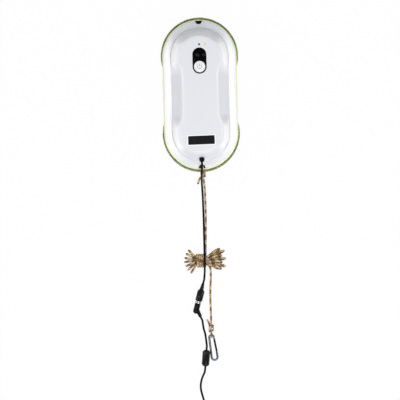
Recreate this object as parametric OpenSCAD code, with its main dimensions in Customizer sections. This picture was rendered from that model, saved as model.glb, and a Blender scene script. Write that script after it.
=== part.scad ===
// Window cleaning robot: two round wiping pads under a white moulded cover, with its
// power lead, safety rope and hook laid out below it. It lies on its pads: X is right,
// Y is up the glass and Z points away from the glass. All lengths are in millimetres.

/* [Pads and discs] */
// Outer diameter of each wiping pad
pad_d = 149; // [130:1:170]
// Space between the two pads
pad_gap = 2; // [1:0.5:6]
// Thickness of the wiping cloth under the disc
pad_t = 6; // [4:0.5:9]
// Height of the hem that wraps up round the disc
hem_h = 7; // [4:0.5:7.5]
// Thickness of the hem
hem_t = 2.8; // [2:0.1:4]
// Diameter of the suction hole in the pad
pad_hole_d = 48; // [40:1:60]
// Thickness of the disc plate
disc_t = 2.5; // [2:0.1:4]
// Height of the rim and ribs on the disc plate
disc_rib_h = 2.4; // [1:0.1:3]
// Outer diameter of the disc hub
hub_d = 50; // [46:1:54]
// Wall of the disc hub
hub_wall = 4; // [2.5:0.5:6]

/* [Shell] */
// How far the shell is set in from the pads at the sides
side_in = 4; // [2:0.5:8]
// How far the shell is set in from the pads at the ends
end_in = 6; // [4:0.5:10]
// Clear space between the hem and the underside of the base
base_gap = 1.5; // [1:0.1:4]
// Height of the base housing
base_h = 15.5; // [14:0.5:20]
// Height of the flat rim above the seam
rim_h = 15; // [12:0.5:20]
// Height of the flat panel above the rim
panel_h = 35; // [34:0.5:42]
// Wall of the cover and of the base
wall = 2.2; // [1.8:0.1:3]
// Width of the flat rim at the sides
rim_side = 14; // [11:0.5:16]
// Width of the flat rim at the ends
rim_end = 12.5; // [10:0.5:15]
// Distance from the shell's side to the panel at the shoulders
shoulder_in = 26.5; // [24:0.5:29]
// Distance from the shell's side to the panel at the grips
grip_in = 33.5; // [30:0.5:36]
// Distance from the shell's end to the panel at the end slopes
slope_in = 30.5; // [28:0.5:34]
// Distance from the middle to where each grip starts to close
grip_near = 38; // [30:1:44]
// Distance from the middle to where each grip has closed
grip_far = 64; // [58:1:70]
// How far the bumper strip stands out from the shell
strip_out = 1.8; // [1:0.1:3]
// Height of the bumper strip
strip_h = 9.5; // [6:0.5:12]

/* [Window and button] */
// Width of the dark window
window_w = 27; // [24:0.5:32]
// Length of the dark window
window_l = 50.4; // [46:0.2:56]
// Distance from the middle of the shell to the middle of the window
window_y = 64.5; // [58:0.5:70]
// Diameter of the power button
button_d = 22.8; // [20:0.2:23.6]
// Travel of the power button
button_travel = 1; // [0.5:0.1:1.1]
// Diameter of each status light
lens_d = 4; // [3:0.2:5]
// Distance between two status lights
lens_step = 11.5; // [8:0.5:14]
// Distance from the middle of the shell to the status lights
lens_y = 96; // [92:0.5:98]

/* [Rope eyes and gland] */
// Radius of the notch that holds each rope eye
notch_r = 6.5; // [5.5:0.1:8]
// Depth of each notch from the end of the shell
notch_in = 7.8; // [7:0.1:9]
// Diameter of the steel pin across each notch
pin_d = 2; // [1.6:0.1:2.4]
// Diameter of the lead's gland
gland_d = 10.5; // [9:0.1:12]
// Distance from the end of the shell to the gland's seat
gland_in = 19.5; // [18:0.5:21]

/* [Drive and fan] */
// Gear module
gear_module = 1; // [0.9:0.05:1.05]
// Teeth of each disc gear
gear_teeth = 60; // [56:1:64]
// Teeth of each motor pinion
pinion_teeth = 15; // [14:1:16]
// Width of the gears
gear_w = 6; // [4:0.5:7]
// Diameter of each gear motor
drive_d = 21; // [18:1:23]
// Height of each gear motor
drive_h = 25; // [18:1:26]
// Diameter of the fan wheel
fan_d = 54; // [44:1:56]
// Height of the fan wheel
fan_h = 10; // [7:0.5:11]
// Blades on the fan wheel
fan_blades = 11; // [7:1:13]
// Height of the suction duct
duct_h = 13; // [11:0.5:14]

/* [Cords] */
// Diameter of the power lead
lead_d = 4; // [3.6:0.1:4]
// Diameter of the safety rope
rope_d = 3.8; // [3.4:0.1:3.8]
// Loops in the rope hank
hank_loops = 8; // [6:2:8]
// Turns of rope round the waist of the hank
wrap_turns = 4; // [3:1:4]
// Turns in the coil of spare lead
coil_turns = 8; // [4:2:8]

/* [Hidden] */

// Smoothness of round pieces
$fn = 64;
// Overrun of every cut past the face it opens
over = 1;
// Gap between pieces that move past each other
run_gap = 0.3;
// Radial clearance of a shaft in its hole
fit_gap = 0.05;
// Gap where one turn of cord lies against the next
cord_gap = 0.5;

// Places along Z
disc_z = pad_t;
hem_top = pad_t + hem_h;
base_z = hem_top + base_gap;
seam_z = base_z + base_h;
rim_z = seam_z + rim_h;
panel_z = rim_z + panel_h;
floor_top = base_z + wall;

// The two discs and the shell follow the pads
pad_r = pad_d / 2;
disc_y = pad_r + pad_gap / 2;
shell_r = pad_r - side_in;
shell_half = disc_y + pad_r - end_in - shell_r;
shell_end = shell_half + shell_r;
hub_r = hub_d / 2;

// Outline helpers
function mix(a, b, t) = a + (b - a) * t;
function eased(t) = let (c = min(max(t, 0), 1)) c * c * (3 - 2 * c);
function unit(v) = v / norm(v);
function arc_points(centre, r, a0, a1, n) =
    [for (i = [0:n]) centre + r * [cos(mix(a0, a1, i / n)), sin(mix(a0, a1, i / n))]];

module stadium(r, half) {
    square([2 * r, 2 * half], center = true);
    for (side = [-1, 1])
        translate([0, side * half]) circle(r);
}

module round_bar(w, l, h, r) {
    linear_extrude(h) {
        square([w - 2 * r, l], center = true);
        square([w, l - 2 * r], center = true);
        for (x = [-1, 1], y = [-1, 1])
            translate([x * (w / 2 - r), y * (l / 2 - r)]) circle(r);
    }
}

// A profile in (radius, height) carried round a stadium of the given half length
module stadium_sweep(half) {
    for (side = [0, 1])
        rotate([0, 0, side * 180]) {
            translate([0, half, 0]) rotate_extrude(angle = 180) children();
            rotate([90, 0, 0]) linear_extrude(2 * half, center = true) children();
        }
}

module at_discs() {
    for (side = [-1, 1])
        translate([0, side * disc_y, 0]) children();
}

// Moulded cover: every station round the shell carries one profile, measured inwards
// from the shell's outline and upwards from the seam
side_steps = 26;
arc_steps = 28;
stations = concat(
    [for (i = [0:side_steps - 1]) [0, mix(-shell_half, shell_half, i / side_steps)]],
    [for (i = [0:arc_steps - 1]) [180 * i / arc_steps, shell_half]],
    [for (i = [0:side_steps - 1]) [180, mix(shell_half, -shell_half, i / side_steps)]],
    [for (i = [0:arc_steps - 1]) [180 + 180 * i / arc_steps, -shell_half]]
);
station_count = len(stations);
top_station = side_steps + arc_steps / 2;

// Half the angle over which an end slope is full, and over which it has faded out
slope_full = 34;
slope_gone = 62;
function end_angle(a) = abs(90 - a % 180);
function is_arc(st) = end_angle(st[0]) < 90;
function slope_weight(st) =
    is_arc(st) ? 1 - eased((end_angle(st[0]) - slope_full) / (slope_gone - slope_full)) : 0;
function grip_weight(st) =
    is_arc(st) ? 0 : 1 - eased((abs(st[1]) - grip_near) / (grip_far - grip_near));
function rim_in(st) = is_arc(st) ? mix(rim_side, rim_end, sin(st[0]) * sin(st[0])) : rim_side;
function panel_in(st) = shoulder_in
    + grip_weight(st) * (grip_in - shoulder_in) + slope_weight(st) * (slope_in - shoulder_in);

// Groove between the rim and the raised body, and the round at the rim's edge
groove_w = 1.2;
groove_h = 0.8;
rim_round = 3.4;
rim_round_shares = [0.35, 0.3];
panel_round = 0.7;
panel_lip = 3.2;
draft = 0.4;
// Places of the rings up the raised body, from the groove to the panel
rise_shares = [0.05, 0.13, 0.24, 0.38, 0.54, 0.7, 0.86, 1];
bulge = 2.5;
rounded_share = 0.45;
function shoulder_rise(t) = pow(1 - pow(1 - t, bulge), 1 / bulge);
function sloped_rise(t) = mix(t, eased(t), rounded_share);
function profile(st) = let (
        groove = rim_in(st),
        start = groove + groove_w,
        end = panel_in(st),
        w = max(grip_weight(st), slope_weight(st)),
        low = rim_z - groove_h,
        high = panel_z - panel_round
    ) concat([
        [0, seam_z],
        [draft, rim_z - rim_round],
        [draft + rim_round * rim_round_shares[0], rim_z - rim_round * rim_round_shares[1]],
        [draft + rim_round, rim_z],
        [groove, rim_z],
        [groove + groove_w / 2, low]
    ],
    [for (t = rise_shares)
        [mix(start, end, t), mix(low, high, mix(shoulder_rise(t), sloped_rise(t), w))]],
    [[end + panel_lip, panel_z]]);

// The inside follows the outside at one wall's distance
inside_rings = [1, 3, 4, 6, 8, 10, 12, 13, 14];
function inward(p, j) = let (d = unit(p[min(j + 1, len(p) - 1)] - p[j - 1])) wall * [d[1], -d[0]];
function inside_profile(st) = let (p = profile(st)) concat(
    [[wall, seam_z - over]],
    [for (j = inside_rings) j == len(p) - 1 ? p[j] + [wall, -wall] : p[j] + inward(p, j)]
);
function place(st, q) = [
    (shell_r - q[0]) * cos(st[0]),
    st[1] + (shell_r - q[0]) * sin(st[0]),
    q[1]
];

// Faces of a skin of rings closed at both ends by a flat ladder from side to side
function ladder_right(i) = (top_station - i + station_count) % station_count;
function ladder_left(i) = (top_station + i) % station_count;
function ladder(base, up) = [
    for (i = [0:station_count / 2 - 1])
        let (a = base + ladder_right(i), b = base + ladder_right(i + 1),
            c = base + ladder_left(i + 1), d = base + ladder_left(i))
            each concat(
                b == c ? [] : [up ? [a, b, c] : [c, b, a]],
                a == d ? [] : [up ? [a, c, d] : [d, c, a]])
];
function skin(rings) = [
    for (j = [0:rings - 2], k = [0:station_count - 1])
        let (a = j * station_count + k, b = j * station_count + (k + 1) % station_count,
            c = b + station_count, d = a + station_count)
            each [[a, d, c], [a, c, b]]
];
module stadium_solid(profiles) {
    rings = len(profiles[0]);
    points = [for (j = [0:rings - 1], k = [0:station_count - 1]) place(stations[k], profiles[k][j])];
    faces = concat(ladder(0, false), skin(rings), ladder((rings - 1) * station_count, true));
    polyhedron(points = points, faces = faces);
}

// Screw places, near the shell's outline
screw_in = 8;
screw_angle = 48;
screw_places = concat(
    [for (s = [-1, 1]) [s * (shell_r - screw_in), 0]],
    [for (s = [-1, 1], e = [-1, 1]) [
        s * (shell_r - screw_in) * cos(screw_angle),
        e * (shell_half + (shell_r - screw_in) * sin(screw_angle))]]
);
screw_d = 2.6;
screw_head_d = 5.4;
screw_head_h = 2;
screw_l = 14;
post_d = 8.4;

// Board and its posts under the panel
board_side_in = 42.5;
board_end_in = 39;
board_w = 2 * (shell_r - board_side_in);
board_l = 66;
board_t = 1.6;
board_y = shell_end - board_end_in - board_l / 2;
board_drop = 11;
board_top = panel_z - board_drop;
board_post_d = 6;
board_post_in = 4;
board_posts = [for (x = [-1, 1], y = [-1, 1])
    [x * (board_w / 2 - board_post_in), board_y + y * (board_l / 2 - board_post_in)]];

// Gland: its axis leans out of the lower end slope
gland_tilt = 30;
gland_rise = 9.5;
gland_z = rim_z + gland_rise;
gland_y = -(shell_end - gland_in);
pocket_d = 17;
gland_hole_d = 7;
gland_neck = 4;
gland_nut_d = 9;
gland_nut_h = 3;
module along_gland() {
    translate([0, gland_y, gland_z]) rotate([90 - gland_tilt, 0, 0]) children();
}

notch_y = shell_end - notch_in + notch_r;
module cover_notches(r) {
    for (side = [-1, 1])
        translate([0, side * notch_y, seam_z - over]) cylinder(h = rim_h + 2 * over, r = r);
}

module window_outline(grow) {
    translate([0, window_y])
        stadium(window_w / 2 + grow, (window_l - window_w) / 2);
}

module cavity() {
    difference() {
        stadium_solid([for (st = stations) inside_profile(st)]);
        for (p = screw_places)
            translate([p[0], p[1], seam_z]) cylinder(h = panel_h, d = post_d);
        for (p = board_posts)
            translate([p[0], p[1], board_top]) cylinder(h = panel_h, d = board_post_d);
        along_gland() translate([0, 0, -wall])
            cylinder(h = pocket_d, d = pocket_d + 2 * wall);
    }
}

module cover() {
    color("white") difference() {
        stadium_solid([for (st = stations) profile(st)]);
        cavity();
        cover_notches(notch_r);
        along_gland() cylinder(h = 2 * pocket_d, d = pocket_d);
        along_gland() translate([0, 0, -pocket_d / 2])
            cylinder(h = pocket_d, d = gland_hole_d);
        along_gland() translate([0, 0, -wall - gland_nut_h])
            cylinder(h = gland_nut_h, d = gland_nut_d + 2 * run_gap);
        translate([0, 0, panel_z - wall - over])
            linear_extrude(wall + 2 * over) window_outline(0);
        for (i = [-1:1])
            translate([i * lens_step, lens_y, panel_z - wall - over])
                cylinder(h = wall + 2 * over, d = lens_d);
        for (p = screw_places)
            translate([p[0], p[1], seam_z - over]) cylinder(h = screw_l - base_h / 2, d = screw_d);
    }
}

// Pale rubber strip that guards the seam, with a round outer edge
strip_bed = 1.2;
strip_z = seam_z - strip_h;
strip_round = 1.4;
module bumper_strip() {
    color("palegoldenrod") translate([0, 0, strip_z]) stadium_sweep(shell_half) {
        r = strip_round;
        translate([shell_r - strip_bed, 0]) square([strip_bed + strip_out - r, strip_h]);
        translate([shell_r - strip_bed, r]) square([strip_bed + strip_out, strip_h - 2 * r]);
        for (z = [r, strip_h - r])
            translate([shell_r + strip_out - r, z]) circle(r);
    }
}

// Base housing: a tray with bearing seats, screw posts, fan posts and air slots
base_r = shell_r - strip_bed - fit_gap;
bearing_wall = 4;
bearing_h = 8;
bearing_d = hub_d + 2 * bearing_wall;
bearing_z = floor_top;
seat_wall = 3;
seat_lip = 1;
duct_post_d = 8;
duct_post_x = 18;
duct_post_y = 26;
slot_w = 3;
slot_l = 16;
slot_step = 6;
slot_count = 3;
slot_in = 22;
slot_x = shell_r - slot_in;
gear_z = bearing_z + bearing_h + run_gap;
gear_top = gear_z + gear_w;
tooth_top_share = 0.8;
tooth_top = tooth_top_share * gear_module;
mesh_gap = 0.15;
drive_x = gear_module * (gear_teeth + pinion_teeth) / 2 + mesh_gap;
motor_gap = 2;
drive_z = gear_top + motor_gap;
drive_post_d = 5;
drive_post_angle = 55;
pinion_r = gear_module * pinion_teeth / 2;
drive_post_out = pinion_r + tooth_top + 2 * run_gap + drive_post_d / 2;
duct_gap = 2.6;
duct_z = gear_top + duct_gap;
duct_top = duct_z + duct_h;
module at_drives() {
    for (turn = [0, 180])
        rotate([0, 0, turn]) translate([-drive_x, disc_y, 0]) children();
}
module base_housing() {
    color("dimgray") difference() {
        union() {
            difference() {
                translate([0, 0, base_z]) linear_extrude(base_h) stadium(base_r, shell_half);
                translate([0, 0, floor_top]) linear_extrude(base_h) stadium(base_r - wall, shell_half);
            }
            at_discs() translate([0, 0, base_z])
                cylinder(h = wall + bearing_h - seat_lip, d = bearing_d + 2 * seat_wall);
            for (p = screw_places)
                translate([p[0], p[1], base_z]) cylinder(h = base_h, d = post_d);
            for (x = [-1, 1], y = [-1, 1])
                translate([x * duct_post_x, y * duct_post_y, base_z])
                    cylinder(h = duct_z - base_z, d = duct_post_d);
            at_drives() for (a = [-1, 1])
                rotate([0, 0, 180 + a * drive_post_angle]) translate([drive_post_out, 0, base_z])
                    cylinder(h = drive_z - base_z, d = drive_post_d);
        }
        at_discs() translate([0, 0, base_z - over])
            cylinder(h = wall + 2 * over, d = bearing_d - 2 * seat_lip);
        at_discs() translate([0, 0, bearing_z]) cylinder(h = base_h, d = bearing_d);
        for (p = screw_places) {
            translate([p[0], p[1], base_z - over]) cylinder(h = base_h + 2 * over, d = screw_d);
            translate([p[0], p[1], base_z - over])
                cylinder(h = screw_head_h + over, d = screw_head_d);
        }
        for (side = [-1, 1], i = [1 - slot_count : 2 : slot_count - 1])
            translate([side * slot_x + i * slot_step / 2, 0, base_z - over])
                linear_extrude(wall + 2 * over) stadium(slot_w / 2, (slot_l - slot_w) / 2);
    }
}

// One screw in each post, head flush with the underside
module cover_screws() {
    color("silver") for (p = screw_places)
        translate([p[0], p[1], base_z]) {
            cylinder(h = screw_head_h, d = screw_head_d);
            cylinder(h = screw_l, d = screw_d);
        }
}

// Wiping pad: a thick cloth ring whose hem wraps up round the disc
pad_round = 3;
module wiping_pad() {
    color("yellowgreen") rotate_extrude() difference() {
        union() {
            translate([pad_hole_d / 2, 0]) square([pad_r - pad_round - pad_hole_d / 2, pad_t]);
            translate([pad_r - hem_t, pad_round])
                square([hem_t, hem_top - pad_round - hem_t / 2]);
            translate([pad_r - hem_t - pad_round, pad_round])
                square([pad_round + hem_t / 2, pad_t - pad_round]);
            translate([pad_r - pad_round, pad_round]) circle(pad_round);
            translate([pad_r - hem_t / 2, hem_top - hem_t / 2]) circle(hem_t / 2);
        }
        translate([0, pad_t]) square([pad_r - hem_t, hem_h + over]);
    }
}
module upper_pad() { translate([0, disc_y, 0]) wiping_pad(); }
module lower_pad() { translate([0, -disc_y, 0]) wiping_pad(); }

// Disc: plate with rim and ribs, hollow hub and the suction grille in its mouth
disc_r = pad_r - hem_t;
hub_shoulder = 2;
hub_rise = 1.6;
hub_top = gear_top + hub_rise;
hub_bore = hub_r - hub_wall;
rib_count = 12;
rib_t = 2;
grille_t = 2;
grille_bar = 1.8;
grille_rings = 3;
grille_spokes = 6;
module disc() {
    color("gainsboro") union() {
        difference() {
            union() {
                translate([0, 0, disc_z]) cylinder(h = disc_t, r = disc_r);
                translate([0, 0, disc_z])
                    cylinder(h = bearing_z - run_gap - disc_z, r = hub_r + hub_shoulder);
                translate([0, 0, disc_z]) cylinder(h = hub_top - disc_z, r = hub_r);
            }
            translate([0, 0, disc_z - over])
                cylinder(h = hub_top - disc_z + 2 * over, r = hub_bore);
        }
        translate([0, 0, disc_z]) difference() {
            cylinder(h = disc_t + disc_rib_h, r = disc_r);
            translate([0, 0, disc_t]) cylinder(h = disc_rib_h + over, r = disc_r - rib_t);
        }
        for (i = [0:rib_count - 1])
            rotate([0, 0, 360 * i / rib_count])
                translate([hub_r + hub_shoulder / 2, -rib_t / 2, disc_z])
                    cube([disc_r - hub_r - hub_shoulder, rib_t, disc_t + disc_rib_h]);
        translate([0, 0, disc_z]) {
            for (i = [1:grille_rings]) difference() {
                r = hub_bore * i / (grille_rings + 1);
                cylinder(h = grille_t, r = r + grille_bar / 2);
                translate([0, 0, -over]) cylinder(h = grille_t + 2 * over, r = r - grille_bar / 2);
            }
            for (i = [0:grille_spokes - 1])
                rotate([0, 0, 360 * i / grille_spokes]) translate([0, -grille_bar / 2, 0])
                    cube([hub_bore + hub_wall / 2, grille_bar, grille_t]);
        }
    }
}
module upper_disc() { translate([0, disc_y, 0]) disc(); }
module lower_disc() { rotate([0, 0, 180]) translate([0, disc_y, 0]) disc(); }

// Spur gears: involute flanks, narrowed a little at the pitch line for running clearance
pressure = 20;
tooth_share = 0.235;
tooth_root_share = 1.15;
tooth_root = tooth_root_share * gear_module;
function involute(a) = tan(a) * 180 / PI - a;
function tooth_half(teeth, r) = let (base = gear_module * teeth / 2 * cos(pressure))
    360 / teeth * tooth_share + involute(pressure) - involute(acos(base / max(r, base)));
function gear_outline(teeth) = let (
        r = gear_module * teeth / 2,
        radii = [r - tooth_root, r, r + tooth_top])
    [for (i = [0:teeth - 1], s = [[0, -1], [1, -1], [2, -1], [2, 1], [1, 1], [0, 1]])
        let (a = 360 * i / teeth + s[1] * tooth_half(teeth, radii[s[0]]))
            radii[s[0]] * [cos(a), sin(a)]];
module disc_gear() {
    color("ivory") translate([0, 0, gear_z]) difference() {
        linear_extrude(gear_w) polygon(gear_outline(gear_teeth));
        translate([0, 0, -over]) cylinder(h = gear_w + 2 * over, r = hub_r);
    }
}
module upper_disc_gear() { translate([0, disc_y, 0]) disc_gear(); }
module lower_disc_gear() { rotate([0, 0, 180]) translate([0, disc_y, 0]) disc_gear(); }

module hub_bearing() {
    color("silver") translate([0, 0, bearing_z]) difference() {
        cylinder(h = bearing_h, d = bearing_d);
        translate([0, 0, -over]) cylinder(h = bearing_h + 2 * over, r = hub_r + fit_gap);
    }
}
module upper_bearing() { translate([0, disc_y, 0]) hub_bearing(); }
module lower_bearing() { translate([0, -disc_y, 0]) hub_bearing(); }

// Pinion with its shaft, which runs up into the motor
shaft_d = 3;
shaft_in = 8;
module motor_pinion() {
    color("gold") {
        translate([0, 0, gear_z]) rotate([0, 0, 180 / pinion_teeth])
            linear_extrude(gear_w) polygon(gear_outline(pinion_teeth));
        translate([0, 0, gear_z]) cylinder(h = drive_z + shaft_in - gear_z, d = shaft_d);
    }
}
module upper_pinion() { translate([-drive_x, disc_y, 0]) motor_pinion(); }
module lower_pinion() { rotate([0, 0, 180]) translate([-drive_x, disc_y, 0]) motor_pinion(); }

// Gear motor: a round can on a gear case, with terminals on top
case_share = 0.45;
can_share = 0.9;
terminal_h = 3;
module drive_motor() {
    color("lightsteelblue") difference() {
        translate([0, 0, drive_z]) {
            cylinder(h = drive_h * case_share, d = drive_d);
            cylinder(h = drive_h, d = drive_d * can_share);
            for (s = [-1, 1])
                translate([s * drive_d / 4 - shaft_d / 4, -shaft_d / 2, drive_h])
                    cube([shaft_d / 2, shaft_d, terminal_h]);
        }
        translate([0, 0, drive_z - over])
            cylinder(h = shaft_in + 2 * over, d = shaft_d + 2 * fit_gap);
    }
}
module upper_drive_motor() { translate([-drive_x, disc_y, 0]) drive_motor(); }
module lower_drive_motor() { rotate([0, 0, 180]) translate([-drive_x, disc_y, 0]) drive_motor(); }

// Suction duct: a flat channel with a collar round each hub and a mouth under the fan
duct_wall = 1.5;
collar_gap = 0.5;
duct_r = hub_r + duct_wall;
fan_mouth_share = 0.6;
fan_mouth_d = fan_d * fan_mouth_share;
module suction_duct() {
    color("darkgray") difference() {
        union() {
            translate([0, 0, duct_z]) linear_extrude(duct_h) stadium(duct_r, disc_y);
            at_discs() translate([0, 0, gear_top + run_gap])
                cylinder(h = duct_z - gear_top, r = hub_r + collar_gap + duct_wall);
        }
        translate([0, 0, duct_z + duct_wall])
            linear_extrude(duct_h - 2 * duct_wall) stadium(duct_r - duct_wall, disc_y);
        at_discs() translate([0, 0, gear_top - over])
            cylinder(h = hub_top + run_gap - gear_top + over, r = hub_r + collar_gap);
        at_discs() translate([0, 0, gear_top])
            cylinder(h = duct_z - gear_top + 2 * duct_wall, r = hub_bore);
        translate([0, 0, duct_z + duct_h / 2]) cylinder(h = duct_h, d = fan_mouth_d);
    }
}

// Fan volute: a spiral wall between two plates, open where it blows out
volute_gap = 2;
volute_growth = 5;
volute_steps = 48;
volute_open = 30;
fan_gap = 0.8;
volute_h = fan_h + 2 * duct_wall + 2 * fan_gap;
volute_top = duct_top + volute_h;
function spiral(extra) = [for (i = [0:volute_steps]) let (a = mix(0, 360, i / volute_steps))
    (fan_d / 2 + volute_gap + extra + volute_growth * i / volute_steps) * [cos(a), sin(a)]];
module fan_volute() {
    color("slategray") translate([0, 0, duct_top]) difference() {
        linear_extrude(volute_h) polygon(spiral(duct_wall));
        translate([0, 0, duct_wall])
            linear_extrude(volute_h - 2 * duct_wall) polygon(spiral(0));
        translate([0, 0, -over]) cylinder(h = duct_wall + 2 * over, d = fan_mouth_d);
        translate([0, 0, volute_h / 2]) cylinder(h = volute_h, d = motor_nose_d);
        rotate([0, 0, -volute_open]) translate([fan_d / 4, 0, duct_wall])
            cube([fan_d, volute_gap + volute_growth, volute_h - 2 * duct_wall]);
    }
}

// Fan wheel: back plate, hub and backward-curved blades round its shaft
motor_nose_d = 12;
wheel_plate = 1.5;
wheel_hub_d = 9;
blade_t = 1.2;
blade_in_share = 0.36;
blade_steps = 8;
blade_sweep = 50;
function blade_line(extra) = [for (i = [0:blade_steps]) let (
        t = i / blade_steps,
        r = mix(fan_d / 2 * blade_in_share, fan_d / 2 - blade_t / 2, t),
        a = -blade_sweep * t)
    r * [cos(a), sin(a)] + extra * [-sin(a), cos(a)]];
module impeller() {
    color("whitesmoke") translate([0, 0, duct_top + duct_wall + fan_gap]) {
        translate([0, 0, fan_h - wheel_plate]) cylinder(h = wheel_plate, d = fan_d);
        cylinder(h = fan_h, d = wheel_hub_d);
        cylinder(h = fan_h + fan_gap + duct_wall + shaft_in, d = shaft_d);
        for (i = [0:fan_blades - 1])
            rotate([0, 0, 360 * i / fan_blades]) linear_extrude(fan_h - wheel_plate / 2)
                polygon(concat(blade_line(blade_t / 2),
                    [for (j = [blade_steps:-1:0]) blade_line(-blade_t / 2)[j]]));
    }
}

fan_motor_d = 28;
fan_motor_h = 12;
module fan_motor() {
    color("lightsteelblue") translate([0, 0, volute_top]) difference() {
        union() {
            cylinder(h = fan_motor_h, d = fan_motor_d);
            translate([0, 0, -duct_wall]) cylinder(h = duct_wall, d = motor_nose_d);
        }
        translate([0, 0, -duct_wall - over])
            cylinder(h = shaft_in + duct_wall + over, d = shaft_d + 2 * fit_gap);
    }
}

// Backup battery: four round cells side by side in an open tray on the duct
cell_d = 14.2;
cell_l = 50;
cell_gap = 0.4;
cell_count = 4;
cell_nub_d = 5;
cell_nub_h = 1;
tray_wall = 1.2;
tray_h = 9;
battery_x = -6;
battery_y = -70;
tray_w = cell_count * (cell_d + cell_gap) + 2 * tray_wall;
tray_l = cell_l + cell_nub_h + 2 * tray_wall;
module at_cells() {
    for (i = [0:cell_count - 1])
        translate([battery_x + (i - (cell_count - 1) / 2) * (cell_d + cell_gap), battery_y,
            duct_top + tray_wall + cell_d / 2]) rotate([90, 0, 0]) children();
}
module battery_cells() {
    color("seagreen") at_cells() translate([0, 0, -cell_l / 2]) {
        cylinder(h = cell_l, d = cell_d);
        translate([0, 0, cell_l]) cylinder(h = cell_nub_h / 2, d = cell_nub_d);
    }
}
module battery_holder() {
    color("dimgray") difference() {
        translate([battery_x - tray_w / 2, battery_y - tray_l / 2, duct_top])
            cube([tray_w, tray_l, tray_h]);
        translate([battery_x - tray_w / 2 + tray_wall, battery_y - tray_l / 2 + tray_wall,
            duct_top + tray_wall + cell_d / 2])
            cube([tray_w - 2 * tray_wall, tray_l - 2 * tray_wall, tray_h]);
        at_cells() cylinder(h = tray_l - 2 * tray_wall, d = cell_d + 2 * fit_gap, center = true);
    }
}

// Main board under the panel, with its parts on the underside
chip_w = 12;
chip_t = 1.6;
choke_d = 9;
choke_h = 5;
module main_board() {
    color("darkgreen") {
        translate([0, board_y, board_top - board_t])
            round_bar(board_w, board_l, board_t, board_post_in);
        for (y = [-1, 1])
            translate([-chip_w / 2, board_y + y * board_l / 4 - chip_w / 2, board_top - board_t - chip_t])
                cube([chip_w, chip_w, chip_t]);
        for (x = [-1, 1])
            translate([x * board_w / 3, board_y, board_top - board_t - choke_h])
                cylinder(h = choke_h, d = choke_d);
    }
}
switch_w = 6;
switch_body_h = 3.2;
switch_cap_d = 3.4;
switch_cap_h = 1.2;
module tact_switch() {
    color("black") translate([0, button_y, board_top]) {
        translate([-switch_w / 2, -switch_w / 2, 0]) cube([switch_w, switch_w, switch_body_h]);
        cylinder(h = switch_body_h + switch_cap_h, d = switch_cap_d);
    }
}

// Dark window let into the panel, with a flange under it and a hole for the button
window_flange = 1.2;
window_proud = 0.3;
button_gap = 0.1;
button_y = window_y - (window_l - window_w) / 2;
flange_z = panel_z - wall - window_flange;
module dark_window() {
    color("black") difference() {
        union() {
            translate([0, 0, flange_z])
                linear_extrude(panel_z + window_proud - flange_z) window_outline(0);
            translate([0, 0, flange_z]) linear_extrude(window_flange) window_outline(window_flange);
        }
        translate([0, button_y, flange_z - over])
            cylinder(h = wall + window_flange + window_proud + 2 * over, d = button_d + 2 * button_gap);
    }
}

// Power button: a round cap with a flange that stops it and a stem over the switch
button_proud = 1;
button_flange_t = 1.2;
stem_d = 5;
module power_button() {
    stop_z = flange_z - run_gap;
    stem_z = board_top + switch_body_h + switch_cap_h + button_travel + fit_gap;
    color("white") translate([0, button_y, 0]) {
        translate([0, 0, stop_z - button_flange_t])
            cylinder(h = panel_z + button_proud - stop_z + button_flange_t, d = button_d);
        translate([0, 0, stop_z - button_flange_t])
            cylinder(h = button_flange_t, d = button_d + 2 * window_flange);
        translate([0, 0, stem_z]) cylinder(h = stop_z - stem_z, d = stem_d);
    }
}

module status_lens(place, shade) {
    color(shade) translate([place * lens_step, lens_y, panel_z - wall])
        cylinder(h = wall + fit_gap, d = lens_d);
}
module left_status_lens() { status_lens(-1, "aliceblue"); }
module middle_status_lens() { status_lens(0, "black"); }
module right_status_lens() { status_lens(1, "bisque"); }

// Rope eyes: a black half-round cup in each notch and a steel pin across it
cup_wall = 0.7;
cup_floor = 1.4;
pin_in = 1.7;
pin_share = 0.52;
pin_z = seam_z + rim_h * pin_share;
module eye_insert() {
    color("black") difference() {
        intersection() {
            translate([0, notch_y, seam_z]) cylinder(h = rim_h, r = notch_r);
            translate([0, 0, seam_z]) linear_extrude(rim_h) stadium(shell_r - draft, shell_half);
        }
        translate([0, notch_y, seam_z + cup_floor]) cylinder(h = rim_h, r = notch_r - cup_wall);
    }
}
module eye_pin() {
    reach = sqrt(pow(notch_r - cup_wall, 2) - pow(notch_y - shell_end + pin_in, 2));
    color("silver") translate([0, shell_end - pin_in, pin_z]) rotate([0, 90, 0])
        cylinder(h = 2 * reach, d = pin_d, center = true);
}
module upper_eye_insert() { eye_insert(); }
module lower_eye_insert() { rotate([0, 0, 180]) eye_insert(); }
module upper_eye_pin() { eye_pin(); }
module lower_eye_pin() { rotate([0, 0, 180]) eye_pin(); }

// Gland: a flanged sleeve through the seat, with a round collar outside
gland_out = 6;
module cable_gland() {
    color("black") along_gland() {
        cylinder(h = gland_out - gland_neck / 2, d = gland_d);
        translate([0, 0, gland_out - gland_neck / 2])
            cylinder(h = gland_neck / 2, d = gland_d - gland_neck / 2);
        translate([0, 0, -wall]) cylinder(h = wall, d = gland_hole_d);
        translate([0, 0, -wall - gland_nut_h]) cylinder(h = gland_nut_h, d = gland_nut_d);
    }
}

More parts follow.
